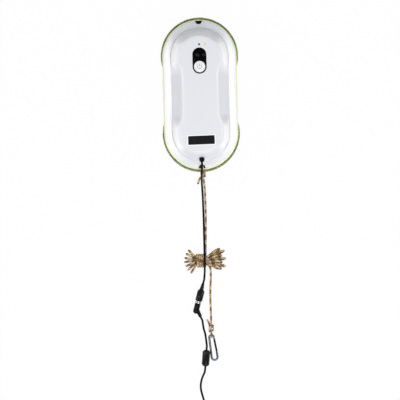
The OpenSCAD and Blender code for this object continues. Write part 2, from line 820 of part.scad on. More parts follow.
// Cord tubes: a ring of points square to the route at every step. The rings keep their
// sides in line with a fixed direction, given for each route
function tangent(p, i) = i == 0 ? unit(p[1] - p[0])
    : i == len(p) - 1 ? unit(p[i] - p[i - 1])
    : unit(unit(p[i + 1] - p[i]) + unit(p[i] - p[i - 1]));
function tube_ring(c, t, r, sides, ref) = let (u = unit(cross(ref, t)), v = cross(t, u))
    [for (i = [0:sides - 1]) c + r * (cos(360 * i / sides) * u + sin(360 * i / sides) * v)];
module tube(path, d, sides, ref) {
    n = len(path);
    points = [for (i = [0:n - 1]) each tube_ring(path[i], tangent(path, i), d / 2, sides, ref)];
    walls = [for (i = [0:n - 2], k = [0:sides - 1])
        let (a = i * sides + k, b = i * sides + (k + 1) % sides, c = b + sides, e = a + sides)
            each [[a, b, c], [a, c, e]]];
    start = [for (k = [1:sides - 2]) [0, k + 1, k]];
    last = (n - 1) * sides;
    end = [for (k = [1:sides - 2]) [last, last + k, last + k + 1]];
    polyhedron(points = points, faces = concat(start, walls, end));
}
// A smooth route through a list of chosen points
function smooth_route(p, steps) = concat(
    [for (i = [0:len(p) - 2], s = [0:steps - 1]) let (
            a = i == 0 ? p[0] : p[i - 1], b = p[i], c = p[i + 1],
            d = i == len(p) - 2 ? p[i + 1] : p[i + 2], t = s / steps)
        b + (c - a) * t / 2 + (2 * a - 5 * b + 4 * c - d) * t * t / 2
            + (3 * b - a - 3 * c + d) * t * t * t / 2],
    [p[len(p) - 1]]
);

// Least distance between the surfaces of a wound cord's own turns, found on points a
// third of a step apart, leaving out points closer along the cord than a few diameters
function finer(p) = [for (i = [0:len(p) - 2], s = [0:2]) p[i] + (p[i + 1] - p[i]) * s / 3];
function self_gap(path, d, skip) = let (p = finer(path), n = len(p))
    min([for (i = [0:n - 1 - skip]) min([for (j = [i + skip:n - 1]) norm(p[i] - p[j])])]) - d;

// A cord on the table lies at its own radius
lead_z = lead_d / 2;
rope_z = rope_d / 2;

// Robot's lead: out of the gland, over the rim, along the table and over the hank
function gland_point(out) = [0, gland_y, gland_z]
    + (gland_out + out) * [0, -cos(gland_tilt), sin(gland_tilt)];
socket_angle = 16;
socket_dir = [-sin(socket_angle), -cos(socket_angle), 0];
socket_r = 7;
socket_tip = [-3.4, -368, socket_r];
robot_lead_route = concat(
    [gland_point(0), gland_point(lead_d), gland_point(2 * lead_d)],
    [[-0.3, -143, 63.2], [-0.6, -149, 61.8], [-0.9, -154, 57.5], [-1.2, -158.5, 49.5],
        [-1.4, -163.5, 39.5], [-1.4, -168.5, 29.5], [-1.2, -174.5, 19], [-0.8, -181.5, 10],
        [-0.4, -190.5, 4], [0, -201, 2.4], [0.2, -215, lead_z],
        [0.5, -235, lead_z], [0.6, -252, 2.4], [0.6, -267, 5], [0.6, -281, 11.5],
        [0.6, -295, 21], [0.6, -308, 28.3], [0.6, -319, 30.2], [0.6, -330, 29.8], [0.4, -337, 27.6],
        [0.3, -342, 22.8], [0.2, -345, 18.2], [0, -348, 13.6], [-0.4, -353, 8.8]],
    [for (i = [2, 1, 0]) socket_tip - i * lead_d * socket_dir]
);
module robot_lead() {
    color("black") tube(smooth_route(robot_lead_route, 2), lead_d, 8, [1, 0, 0]);
}

// In-line socket: tapered boot, faceted shoulder and round barrel
boot_l = 12;
boot_end_d = 8;
barrel_d = 2 * socket_r;
barrel_l = 24;
shoulder_l = 4;
barrel_edge = 2;
ring_l = 4;
ring_d = 12.4;
plug_bore_d = 5.4;
socket_skin = 0.6;
module along_socket(distance) {
    translate(socket_tip + distance * socket_dir) rotate([90, 0, -socket_angle]) children();
}
module lead_socket() {
    r0 = lead_d / 2 + socket_skin;
    shoulder = boot_l + shoulder_l;
    end = boot_l + barrel_l;
    hole = end - pin_l;
    color("black") along_socket(0) rotate_extrude() polygon([
        [0, 0], [r0, 0], [boot_end_d / 2, boot_l], [socket_r, shoulder],
        [socket_r, end - barrel_edge], [socket_r - barrel_edge, end],
        [plug_bore_d / 2, end], [plug_bore_d / 2, hole], [0, hole]]);
}

// Bright ring that turns on the plug's neck
pin_l = 10;
neck_d = 8;
module lock_ring() {
    color("silver") difference() {
        along_socket(boot_l + barrel_l + run_gap) cylinder(h = ring_l, d = ring_d);
        along_socket(boot_l + barrel_l - over)
            cylinder(h = ring_l + run_gap + 2 * over, d = neck_d + 2 * fit_gap);
    }
}

// Elbow plug: pin in the socket, neck inside the ring, round body and a leg at an angle
plug_wall = 1;
plug_d = 11.4;
plug_l = 15;
leg_root = 10;
leg_angle = 24;
leg_l = 18;
leg_d = 8.4;
leg_end_d = 6.4;
plug_start = boot_l + barrel_l + ring_l + 2 * run_gap;
leg_start = socket_tip + (plug_start + leg_root) * socket_dir;
leg_dir = [sin(leg_angle), -cos(leg_angle), 0];
leg_end = leg_start + leg_l * leg_dir;
module elbow_plug() {
    color("black") union() {
        along_socket(boot_l + barrel_l - pin_l + over)
            cylinder(h = pin_l + ring_l + 2 * run_gap, d = plug_bore_d - 2 * fit_gap);
        along_socket(boot_l + barrel_l + fit_gap) cylinder(h = ring_l + run_gap + over, d = neck_d);
        along_socket(plug_start) cylinder(h = plug_l, d = plug_d);
        along_socket(plug_start + plug_l) sphere(d = plug_d);
        translate(leg_start) rotate([90, 0, leg_angle]) cylinder(h = leg_l, d1 = leg_d, d2 = leg_end_d);
    }
}

// Lead from the plug through the ferrite bead to the coil
ferrite_d = 15;
ferrite_l = 32;
ferrite_edge = 3.4;
ferrite_angle = -5.5;
ferrite_dir = [sin(ferrite_angle), -cos(ferrite_angle), 0];
ferrite_top = [0, -498, ferrite_d / 2];
ferrite_end = ferrite_top + ferrite_l * ferrite_dir;
module along_ferrite(distance) {
    translate(ferrite_top + distance * ferrite_dir) rotate([90, 0, ferrite_angle]) children();
}
module ferrite_bead() {
    r = ferrite_d / 2;
    tip = r - ferrite_edge;
    color("black") along_ferrite(0) rotate_extrude() polygon([
        [0, 0], [tip, 0], [r, ferrite_edge], [r, ferrite_l - ferrite_edge],
        [tip, ferrite_l], [0, ferrite_l]]);
}
coil_step = lead_d + cord_gap;
coil_out = 29;
coil_centre = [25, -642];
coil_start = [coil_centre[0] - coil_out, coil_centre[1], lead_z];
adapter_lead_route = concat(
    [for (i = [0:2]) leg_end + i * lead_d * leg_dir],
    [[-4.6, -456, 5], [-2, -466, 3.2], [-0.6, -476, 3.2]],
    [for (i = [2, 1, 0]) ferrite_top - i * lead_d * ferrite_dir]
);
ferrite_lead_route = concat(
    [for (i = [0:2]) ferrite_end + i * lead_d * ferrite_dir],
    [[-5.3, -543, 6.3], [-8.2, -549, 4], [-11.2, -557, 2.5], [-13, -568, lead_z],
        [-12.4, -577, lead_z], [-10, -587, lead_z], [-7.4, -597, lead_z], [-5, -609, lead_z],
        [-4.2, -621, lead_z]],
    [for (i = [2, 1]) coil_start + i * lead_d * [0, 1, 0]]
);
module adapter_lead() {
    color("black") tube(smooth_route(adapter_lead_route, 2), lead_d, 8, [0, 0, 1]);
}
module ferrite_lead() {
    color("black") tube(smooth_route(ferrite_lead_route, 2), lead_d, 8, [0, 0, 1]);
}

// Spare lead: turns run in on the table, climb a layer while the spiral reverses, and
// run out again on top
function coil_r(u) = coil_out - coil_step * min(u, coil_turns - u);
climb_turns = 0.5;
coil_rings = 24;
function coil_z(u) = lead_z + coil_step * eased((u - coil_turns / 2) / climb_turns + 1 / 2);
lead_coil_path = concat(
    [coil_start + lead_d * [0, 1, 0]],
    [for (k = [0:coil_turns * coil_rings]) let (u = k / coil_rings, a = 180 + 360 * u)
        [coil_centre[0] + coil_r(u) * cos(a), coil_centre[1] + coil_r(u) * sin(a), coil_z(u)]],
    [[coil_start[0], coil_start[1] - lead_d, coil_z(coil_turns)]]
);
module lead_coil() {
    color("black") tube(lead_coil_path, lead_d, 6, [0, 0, 1]);
}

// Adapter with a tapered boot for the lead and a two-pin inlet
adapter_w = 52;
adapter_l = 112;
adapter_h = 31;
adapter_r = 5;
boot_tip = [0, -692, adapter_h / 2];
adapter_boot_l = 22;
adapter_boot_d = 8.5;
adapter_y = boot_tip[1] - adapter_boot_l - adapter_l / 2;
inlet_w = 14;
inlet_d = 8;
inlet_deep = 9;
inlet_pin_d = 2.2;
inlet_pin_step = 4.2;
inlet_pin_share = 0.8;
adapter_seam = 0.5;
coil_end = [coil_start[0], coil_start[1] - lead_d, coil_z(coil_turns)];
adapter_end_route = concat(
    [for (i = [0:2]) coil_end - i * lead_d * [0, 1, 0]],
    [[-3.8, -659, 6.8], [-2.8, -668, 9], [-1.2, -677, 13.2]],
    [for (i = [2, 1, 0]) boot_tip + i * lead_d * [0, 1, 0]]
);
module adapter_lead_end() {
    color("black") tube(smooth_route(adapter_end_route, 2), lead_d, 8, [0, 0, 1]);
}
module adapter_boot() {
    color("black") translate(boot_tip) rotate([90, 0, 0])
        cylinder(h = adapter_boot_l, d1 = lead_d + plug_wall, d2 = adapter_boot_d);
}
module inlet_outline() {
    for (s = [-1, 1])
        translate([s * (inlet_w - inlet_d) / 2, 0]) circle(d = inlet_d);
    square([inlet_w - inlet_d, inlet_d], center = true);
}
module power_adapter() {
    color("black") translate([0, adapter_y, 0]) {
        difference() {
            round_bar(adapter_w, adapter_l, adapter_h, adapter_r);
            translate([0, 0, adapter_h / 2]) difference() {
                translate([0, 0, -adapter_seam / 2])
                    round_bar(adapter_w + over, adapter_l + over, adapter_seam, adapter_r);
                translate([0, 0, -adapter_seam])
                    round_bar(adapter_w - 2 * adapter_seam, adapter_l - 2 * adapter_seam,
                        2 * adapter_seam, adapter_r);
            }
            translate([0, inlet_deep - adapter_l / 2, adapter_h / 2]) rotate([90, 0, 0])
                linear_extrude(inlet_deep + over) inlet_outline();
        }
        for (s = [-1, 1])
            translate([s * inlet_pin_step, inlet_deep - adapter_l / 2, adapter_h / 2])
                rotate([90, 0, 0]) cylinder(h = inlet_deep * inlet_pin_share, d = inlet_pin_d);
    }
}

// Rope at the robot: a loop round the eye's pin and a knot of three turns
knot_turns = 3;
knot_step = rope_d + cord_gap;
knot_share = 0.95;
knot_r = rope_d * knot_share;
knot_rings = 16;
anchor_tilt = 25;
anchor_x = 1.7;
anchor_leg = 5.5;
anchor_at = [anchor_x, -(shell_end - pin_in), pin_z];
anchor_dir = [0, -cos(anchor_tilt), -sin(anchor_tilt)];
loop_gap = 0.1;
bend_r = pin_d / 2 + rope_d / 2 + loop_gap;
knot_l = knot_turns * knot_step;
module u_bend(r, leg) {
    rotate([0, 90, 0]) {
        rotate_extrude(angle = 180) translate([r, 0]) circle(d = rope_d);
        for (s = [-1, 1])
            translate([s * r, 0, 0]) rotate([90, 0, 0]) cylinder(h = leg, d = rope_d);
    }
}
module anchor_loop() {
    color("tan") translate(anchor_at) rotate([anchor_tilt, 0, 0]) u_bend(bend_r, anchor_leg);
}
// Turns round an axis from a start point, then a cut tail through chosen points
function knot_path(from, dir, side, up, tail) = concat(
    [for (k = [0:knot_turns * knot_rings]) let (a = 360 * k / knot_rings)
        from + (rope_d / 2 + knot_step * k / knot_rings) * dir
            + knot_r * (cos(a) * side + sin(a) * up)],
    tail
);
anchor_knot_from = anchor_at + anchor_leg * anchor_dir;
anchor_up = [0, -sin(anchor_tilt), cos(anchor_tilt)];
anchor_knot_path = knot_path(anchor_knot_from, anchor_dir, [-1, 0, 0], anchor_up,
    [[-4.6, -163, 26.5], [-7.2, -168, 21], [-8.6, -173, 15]]);
module anchor_knot() {
    color("tan") tube(anchor_knot_path, rope_d, 6, anchor_dir);
}

// Rope hank: loops laid side by side in upright planes, drawn into a square bundle at
// the waist and spread into a fan at each end. Odd loops take the outer layers there
// and even loops the inner ones, and the fold of every even loop lies further out
hank_y = -323.6;
hank_z = 13.8;
wrap_x = 2.2;
fold_share = 3;
fold_r = fold_share * rope_d;
waist_step = rope_d + cord_gap;
layer_gap = 0.53;
layer_step = waist_step + layer_gap;
wrap_gap = 0.6;
wrap_out = 3 * layer_step / 2 + rope_d + wrap_gap;
left_waist = [-15.8, -323.2];
right_waist = [4, -324];
left_fan = [248, 126];
right_fan = [-30, 30];
left_out = [16.9, 22.5];
left_stagger = 2.7;
right_out = [30.2, 37];
inner_lift = 2.23;
left_share = 0.35;
right_share = 0.44;
fold_steps = 6;
fold_turn = 180 / fold_steps;
hank_columns = hank_loops / 2;
function is_inner(i) = i % 2 == 0;
function level(i) = is_inner(i) ? layer_step / 2 : 3 * layer_step / 2;
function column_y(i) = (floor(i / 2) - (hank_columns - 1) / 2) * waist_step;
function fan_dir(fan, i) = let (a = mix(fan[0], fan[1], i / (hank_loops - 1))) [cos(a), sin(a)];
function fan_root(waist, i) = waist + [0, (i - (hank_loops - 1) / 2) * waist_step / 2];
function left_root(i) =
    left_waist - [left_stagger * (1 - abs(2 * i / (hank_loops - 1) - 1)), 0];
function fan_reach(out, i) = out[is_inner(i) ? 1 : 0];
// A strand's place between waist (t = 0) and fold (t = 1), above (up = 1) or below
function strand(waist, fan, out, i, t, up) = let (
        side = waist + [0, column_y(i)],
        flat = mix(side, fan_root(waist, i) + (fan_reach(out, i) - fold_r) * fan_dir(fan, i), t),
        lift = mix(level(i), fold_r, is_inner(i) ? pow(t, inner_lift) : t))
    [flat[0], flat[1], hank_z + up * lift];
// The fold itself, turned through the angle a from below (-90) to above (90)
function fold(waist, fan, out, i, a) = let (
        low = floor(i), high = ceil(i), share = i - low,
        reach = mix(fan_reach(out, low), fan_reach(out, high), share),
        p = fan_root(waist, i) + (reach - fold_r + fold_r * cos(a)) * fan_dir(fan, i))
    [p[0], p[1], hank_z + fold_r * sin(a)];
function lower_pass(i) = concat(
    [for (t = [left_share, 0]) strand(left_root(i), left_fan, left_out, i, t, -1)],
    [mix(strand(left_root(i), left_fan, left_out, i, 0, -1),
        strand(right_waist, right_fan, right_out, i, 0, -1), 0.5)],
    [for (t = [0, right_share]) strand(right_waist, right_fan, right_out, i, t, -1)]
);
function upper_pass(i) = concat(
    [for (t = [right_share, 0]) strand(right_waist, right_fan, right_out, i, t, 1)],
    [mix(strand(left_root(i), left_fan, left_out, i, 0, 1),
        strand(right_waist, right_fan, right_out, i, 0, 1), 0.5)],
    [for (t = [0, left_share]) strand(left_root(i), left_fan, left_out, i, t, 1)]
);
function right_fold(i) = [for (k = [0:fold_steps])
    fold(right_waist, right_fan, right_out, i, -90 + fold_turn * k)];
function left_fold(i) =
    [for (k = [0:fold_steps]) let (j = i - k / fold_steps)
        fold(left_root(j), left_fan, left_out, j, 90 - fold_turn * k)];
// The hank starts in the lower strand of its last loop and ends in that of its first,
// which turns out of the bundle towards the hook
hank_end = [12, -350, rope_z];
hank_out = [[5, -330.8, 11.4], [9.5, -334.5, 10.5], [12, -340, 6.5]];
hank_path = concat(
    [for (i = [hank_loops - 1 : -1 : 1]) each concat(
        i == hank_loops - 1 ? [for (p = lower_pass(i)) if (p[0] > left_waist[0]) p] : lower_pass(i),
        right_fold(i), upper_pass(i), left_fold(i))],
    [for (k = [0:2]) lower_pass(0)[k]],
    hank_out,
    [hank_end + [0, rope_d, 0], hank_end]
);
module rope_hank() {
    color("tan") tube(hank_path, rope_d, 6, [0.1, 0.99, 0.05]);
}

// Wraps round the waist: a spring of turns whose section is a rounded square
wrap_square = 5;
wrap_rings = 24;
function wrap_point(u) = let (a = -90 - 360 * u,
        r = wrap_out / pow(pow(abs(cos(a)), wrap_square) + pow(abs(sin(a)), wrap_square),
            1 / wrap_square))
    [wrap_x - waist_step * u, hank_y + r * cos(a), hank_z + r * sin(a)];
wraps_path = concat(
    [wrap_point(0) + [rope_d / wrap_rings, rope_d, 0]],
    [for (k = [0:wrap_turns * wrap_rings]) wrap_point(k / wrap_rings)]
);
module rope_wraps() {
    color("tan") tube(wraps_path, rope_d, 6, [1, 0, 0]);
}

// Upper rope run: from the anchor knot down to the table and on to the hank's wraps
upper_from = anchor_knot_from + rope_d / 2 * anchor_dir;
upper_run_route = concat(
    [for (i = [0:2]) upper_from + i * (knot_l / 2) * anchor_dir],
    [[3.2, -171, 22.5], [3.9, -180, 12], [4.5, -190, 5], [4.8, -201, 2.4],
        [4.9, -215, 2], [4.9, -240, rope_z], [4.4, -265, rope_z], [3.6, -285, rope_z],
        [3.1, -298, rope_z]],
    [for (i = [3, 2, 1]) wrap_point(0) + i * [rope_d / wrap_rings, rope_d, 0]]
);
module rope_upper_run() {
    color("tan") tube(smooth_route(upper_run_route, 2), rope_d, 8, [1, 0, 0]);
}

// Hook: its eye end is held up by the rope's loop and its round end lies on the table
wire_d = 4.2;
eye_r = 4.5;
nose_r = 5.75;
hook_l = 39;
hook_angle = 7.5;
hook_eye = [10.4, -474, 6.4];
hook_pitch = asin((hook_eye[2] - wire_d / 2) / hook_l);
module at_hook() {
    translate(hook_eye) rotate([0, 0, hook_angle]) rotate([hook_pitch, 0, 0]) children();
}
leg_lean = asin((nose_r - eye_r) / hook_l);
gate_l = 25;
gate_drop = 3;
nose_l = hook_l - gate_drop - gate_l - run_gap;
tab_t = 1.6;
rivet_d = 1.6;
gate_d = 3.8;
tab_d = 3.6;
weld_in = 0.3;
module hook_body() {
    left = [-cos(leg_lean), sin(leg_lean), 0];
    nose = [0, -hook_l, 0];
    color("silver") at_hook() {
        rotate_extrude(angle = 180 - leg_lean) translate([eye_r, 0]) circle(d = wire_d);
        translate(nose) rotate([0, 0, 180 - leg_lean])
            rotate_extrude(angle = 180 + leg_lean) translate([nose_r, 0]) circle(d = wire_d);
        translate(eye_r * left) rotate([90, 0, -leg_lean]) translate([0, 0, weld_in])
            cylinder(h = hook_l * cos(leg_lean) - 2 * weld_in, d = wire_d);
        translate([nose_r, weld_in - hook_l, 0]) rotate([-90, 0, 0])
            cylinder(h = nose_l - weld_in, d = wire_d);
        for (weld = [eye_r * left, nose + nose_r * left, nose + [nose_r, 0, 0]])
            translate(weld) sphere(d = wire_d + 2 * fit_gap);
        difference() {
            union() {
                translate([eye_r - tab_d / 2, -gate_drop, -tab_t / 2])
                    cube([tab_d, gate_drop + over, tab_t]);
                translate([eye_r, -gate_drop, -tab_t / 2]) cylinder(h = tab_t, d = tab_d);
            }
            translate([eye_r, -gate_drop, -tab_t]) cylinder(h = 2 * tab_t, d = rivet_d);
        }
    }
}
module hook_rivet() {
    color("gray") at_hook() translate([eye_r, -gate_drop, -gate_d / 2])
        cylinder(h = gate_d, d = rivet_d);
}
// Gate: a bar forked over the tab, sprung shut against the nose
module hook_gate() {
    lean = atan2(nose_r - eye_r, gate_l);
    color("dimgray") at_hook() translate([eye_r, -gate_drop, 0]) rotate([0, 0, lean])
        difference() {
            union() {
                rotate([90, 0, 0]) cylinder(h = gate_l, d = gate_d);
                cylinder(h = gate_d, d = tab_d, center = true);
            }
            translate([-tab_d, -tab_d / 2 - run_gap, -tab_t / 2 - fit_gap])
                cube([2 * tab_d, tab_d + 2 * run_gap, tab_t + 2 * fit_gap]);
            cylinder(h = 2 * gate_d, d = rivet_d + 2 * fit_gap, center = true);
        }
}

// Lower rope run, its loop through the hook's eye and the knot that closes it
hook_bend_r = wire_d / 2 + rope_d / 2 + loop_gap;
end_leg = 5.5;
end_at = hook_eye + eye_r * [0, cos(hook_pitch), sin(hook_pitch)];
end_knot_from = end_at + [0, end_leg, 0];
module hook_loop() {
    color("tan") translate(end_at) rotate([0, 0, 180]) u_bend(hook_bend_r, end_leg);
}
end_knot_path = knot_path(end_knot_from, [0, 1, 0], [-1, 0, 0], [0, 0, 1],
    [[5.4, -444, 4], [2.6, -439, 5]]);
module end_knot() {
    color("tan") tube(end_knot_path, rope_d, 6, [0, 1, 0]);
}
lower_run_route = concat(
    [for (i = [0:2]) hank_end - i * rope_d * [0, 1, 0]],
    [[11.6, -362, rope_z], [10.4, -380, rope_z], [10, -400, 2], [10.2, -420, 2.3],
        [10.4, -434, 4]],
    [for (i = [2, 1, 0]) end_knot_from + [0, rope_d / 2 + i * knot_l / 2, 0]]
);
module rope_lower_run() {
    color("tan") tube(smooth_route(lower_run_route, 2), rope_d, 8, [1, 0, 0]);
}

echo(hank_least_gap = self_gap(hank_path, rope_d, 12));
echo(wraps_least_gap = self_gap(wraps_path, rope_d, 24));
echo(coil_least_gap = self_gap(lead_coil_path, lead_d, 24));
echo(anchor_knot_least_gap = self_gap(anchor_knot_path, rope_d, 18));
echo(end_knot_least_gap = self_gap(end_knot_path, rope_d, 18));

cover();
bumper_strip();
base_housing();
cover_screws();
upper_pad();
lower_pad();
upper_disc();
lower_disc();
upper_disc_gear();
lower_disc_gear();
upper_bearing();
lower_bearing();
upper_pinion();
lower_pinion();
upper_drive_motor();
lower_drive_motor();
suction_duct();
fan_volute();
impeller();
fan_motor();
battery_holder();
battery_cells();
main_board();
tact_switch();
dark_window();
power_button();
left_status_lens();
middle_status_lens();
right_status_lens();
upper_eye_insert();
lower_eye_insert();
upper_eye_pin();
lower_eye_pin();
cable_gland();
robot_lead();
lead_socket();
lock_ring();
elbow_plug();
ferrite_bead();
adapter_lead();
ferrite_lead();
lead_coil();
adapter_lead_end();
power_adapter();
adapter_boot();
anchor_loop();
anchor_knot();
rope_upper_run();
rope_hank();
rope_wraps();
rope_lower_run();
hook_loop();
end_knot();
hook_body();
hook_gate();
hook_rivet();
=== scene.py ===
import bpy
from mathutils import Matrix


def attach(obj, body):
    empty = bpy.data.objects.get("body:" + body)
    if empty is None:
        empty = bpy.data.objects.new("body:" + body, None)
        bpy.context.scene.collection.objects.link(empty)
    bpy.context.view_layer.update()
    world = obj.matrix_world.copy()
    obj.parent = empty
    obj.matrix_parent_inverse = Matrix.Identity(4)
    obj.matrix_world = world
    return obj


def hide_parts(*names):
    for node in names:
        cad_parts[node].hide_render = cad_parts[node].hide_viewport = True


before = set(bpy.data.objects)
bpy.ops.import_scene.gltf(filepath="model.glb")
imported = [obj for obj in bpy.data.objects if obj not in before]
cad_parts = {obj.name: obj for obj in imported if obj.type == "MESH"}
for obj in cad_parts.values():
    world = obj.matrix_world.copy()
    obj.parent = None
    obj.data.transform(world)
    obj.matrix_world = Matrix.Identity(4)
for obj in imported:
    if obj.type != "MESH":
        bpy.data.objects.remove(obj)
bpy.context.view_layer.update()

import math

import bpy
from mathutils import Euler, Vector, noise

# Camera and studio
# The robot lies on its pads on a white table and is seen straight from above through a
# long lens. A soft key stands towards the rope end, so the slope by the lights is the
# darker one, and an even white room fills the rest.
mm = 0.001
camera_over = (-5.6 * mm, -205.2 * mm, 8.0)
camera_turn = math.radians(-1.4)
lens_length = 368.5
floor_glow, room_light, table_size = 0.97, 0.44, 8
bpy.ops.object.camera_add(location=camera_over, rotation=(0, 0, camera_turn))
camera = bpy.context.object
camera.data.sensor_width = 36
camera.data.lens = lens_length
camera.data.clip_end = 20
bpy.context.scene.camera = camera
bpy.context.scene.view_settings.view_transform = "Standard"


def hex_colour(code):
    """A colour written as sRGB hex, as the linear values that the shaders take."""
    channels = [int(code[i:i + 2], 16) / 255 for i in (1, 3, 5)]
    return [c / 12.92 if c <= 0.04045 else ((c + 0.055) / 1.055) ** 2.4 for c in channels] + [1.0]


def node(tree, kind, inputs=(), **settings):
    """Adds one node. An input is a value, an output, or a node to link its first output from."""
    made = tree.nodes.new("ShaderNode" + kind)
    for key, value in settings.items():
        setattr(made, key, value)
    for key, value in dict(inputs).items():
        if isinstance(value, bpy.types.Node):
            value = value.outputs[0]
        if isinstance(value, bpy.types.NodeSocket):
            tree.links.new(value, made.inputs[key])
        else:
            made.inputs[key].default_value = value
    return made


# White laminate: to the camera and in reflections it is nearly all plain white light, and
# only the last few hundredths are a lit surface that can take a shadow
table_white = bpy.data.materials.new("white laminate table")
table_white.use_nodes = True
tree = table_white.node_tree
tree.nodes.clear()
seen = node(tree, "LightPath")
direct = node(tree, "Math", {0: seen.outputs["Is Camera Ray"], 1: seen.outputs["Is Glossy Ray"]},
              operation="MAXIMUM")
lit = node(tree, "BsdfDiffuse", {"Color": hex_colour("#ececec")})
glow = node(tree, "Emission", {"Color": (1, 1, 1, 1), "Strength": 1.0})
share = node(tree, "Math", {0: direct, 1: floor_glow}, operation="MULTIPLY")
both = node(tree, "MixShader", {0: share, 1: lit, 2: glow})
node(tree, "OutputMaterial", {"Surface": both})

bpy.ops.mesh.primitive_plane_add(size=1, location=(0, -0.3, -0.0002))
table = bpy.context.object
table.name = "table"
bpy.ops.transform.resize(value=(table_size, table_size, 1))
bpy.ops.object.transform_apply(location=True, rotation=True, scale=True)
table.data.materials.append(table_white)

world = bpy.data.worlds.new("white room")
bpy.context.scene.world = world
world.use_nodes = True
background = world.node_tree.nodes["Background"]
background.inputs["Color"].default_value = (1, 1, 1, 1)
background.inputs["Strength"].default_value = room_light

for name, place, aim, size, watts in (
    ("key softbox", (0.15, -1.5, 1.8), (0, 0, 0), 1.2, 23),
    ("left panel", (-0.42, 0.05, 2.4), (0, 0, 0), 0.42, 3),
    ("right panel", (0.42, 0.05, 2.4), (0, 0, 0), 0.42, 3),
    ("left strip", (-1.5, 0.0, 1.0), (0, -0.05, 0), 0.8, 5),
    ("right strip", (1.5, 0.0, 1.0), (0, -0.05, 0), 0.8, 5),
):
    bpy.ops.object.light_add(type="AREA", location=place)
    lamp = bpy.context.object
    lamp.name = name
    lamp.data.shape = "DISK"
    lamp.data.size = size
    lamp.data.energy = watts
    lamp.rotation_euler = (Vector(aim) - Vector(place)).to_track_quat("-Z", "Y").to_euler()

# Power lead
# A round PVC sheathed low-voltage lead, 4 mm thick. It leaves the gland at the robot's
# lower end, drops to the table, passes over the rope and ends in a barrel socket. From
# the elbow plug it goes on through a ferrite bead to a coil of spare lead and the adapter.
lead_d, lead_step, lead_sides = 4.0, 1.5, 20


def eased(t):
    t = min(max(t, 0.0), 1.0)
    return t * t * (3 - 2 * t)


def smooth_route(points, steps):
    """A smooth line through chosen points, in millimetres."""
    p = [Vector(q) for q in points]
    line = []
    for i in range(len(p) - 1):
        a, b, c, d = p[max(i - 1, 0)], p[i], p[i + 1], p[min(i + 2, len(p) - 1)]
        for s in range(steps):
            t = s / steps
            line.append(b + (c - a) * t / 2 + (2 * a - 5 * b + 4 * c - d) * t * t / 2
                        + (3 * b - a - 3 * c + d) * t ** 3 / 2)
    return line + [p[-1]]


def respaced(line, step):
    """The same line with its points a fixed step apart."""
    gone = [0.0]
    for a, b in zip(line, line[1:]):
        gone.append(gone[-1] + (b - a).length)
    count = max(2, round(gone[-1] / step))
    made, k = [], 0
    for i in range(count + 1):
        at = gone[-1] * i / count
        while k < len(line) - 2 and gone[k + 1] < at:
            k += 1
        t = (at - gone[k]) / max(gone[k + 1] - gone[k], 1e-9)
        made.append(line[k].lerp(line[k + 1], t))
    return made


def piece_from(name, verts, faces):
    """A new object from points and faces, with its place in its mesh."""
    mesh = bpy.data.meshes.new(name)
    mesh.from_pydata(verts, [], faces)
    made = bpy.data.objects.new(name, mesh)
    bpy.context.collection.objects.link(made)
    return made


def tube_faces(rings, sides, first=0):
    """Faces between rings of points, and a cap on each end."""
    faces = [[first + i * sides + k, first + i * sides + (k + 1) % sides,
              first + (i + 1) * sides + (k + 1) % sides, first + (i + 1) * sides + k]
             for i in range(rings - 1) for k in range(sides)]
    last = first + (rings - 1) * sides
    return faces + [list(range(first, first + sides))[::-1], list(range(last, last + sides))]


def cord_tube(name, line, diameter, sides, relief=None):
    """A tube along a line, with a UV map: U round it and V along it in diameters."""
    count = len(line)
    heading = [(line[min(i + 1, count - 1)] - line[max(i - 1, 0)]).normalized() for i in range(count)]
    side = heading[0].orthogonal().normalized()
    verts, along, run = [], [], 0.0
    for i in range(count):
        if i:
            run += (line[i] - line[i - 1]).length
            side = heading[i - 1].rotation_difference(heading[i]) @ side
        side = (side - heading[i] * side.dot(heading[i])).normalized()
        up = heading[i].cross(side)
        along.append(run / diameter)
        for k in range(sides):
            a = 2 * math.pi * k / sides
            r = diameter / 2 * (relief(a, run) if relief else 1.0)
            verts.append((line[i] + r * (math.cos(a) * side + math.sin(a) * up)) * mm)
    made = piece_from(name, verts, tube_faces(count, sides))
    uv = made.data.uv_layers.new(name="UVMap")
    for face in made.data.polygons:
        face.use_smooth = face.index < (count - 1) * sides
        for corner, loop in enumerate(face.loop_indices):
            i, k = divmod(made.data.loops[loop].vertex_index, sides)
            u = 1.0 if face.use_smooth and k == 0 and corner in (1, 2) else k / sides
            uv.data[loop].uv = (u, along[i])
    return made


def material(name, colour, **sockets):
    """A material on the standard shader, with its colour and its own socket values."""
    made = bpy.data.materials.new(name)
    made.use_nodes = True
    shader = made.node_tree.nodes["Principled BSDF"]
    shader.inputs["Base Color"].default_value = hex_colour(colour)
    for key, value in sockets.items():
        shader.inputs[key.replace("_", " ")].default_value = value
    return made, made.node_tree, shader


def fine_relief(tree, shader, scale, detail, strength, depth):
    """A fine relief on a surface; its scale is in cells to a metre, so 1000 is 1 mm."""
    spot = node(tree, "TexCoord").outputs["Object"]
    grain = node(tree, "TexNoise", {"Vector": spot, "Scale": scale, "Detail": detail})
    dent = node(tree, "Bump", {"Height": grain, "Strength": strength, "Distance": depth})
    tree.links.new(dent.outputs[0], shader.inputs["Normal"])
    return spot, grain


# Extruded soft PVC: near black, with a low, uneven wax-like gloss
sheath_pvc, tree, shader = material("soft PVC sheath", "#050506", Roughness=0.35, Specular_IOR_Level=0.08)
grain = fine_relief(tree, shader, 900, 3, 0.15, 0.00005)[1]
rough = node(tree, "MapRange", {"Value": grain, "To Min": 0.28, "To Max": 0.42})
tree.links.new(rough.outputs[0], shader.inputs["Roughness"])


def lead_piece(name, line, sides, *nodes):
    """A length of the lead that stands for the named CAD nodes."""
    made = cord_tube(name, line, lead_d, sides)
    made.data.materials.append(sheath_pvc)
    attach(made, "robot")
    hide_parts(*nodes)
    return made


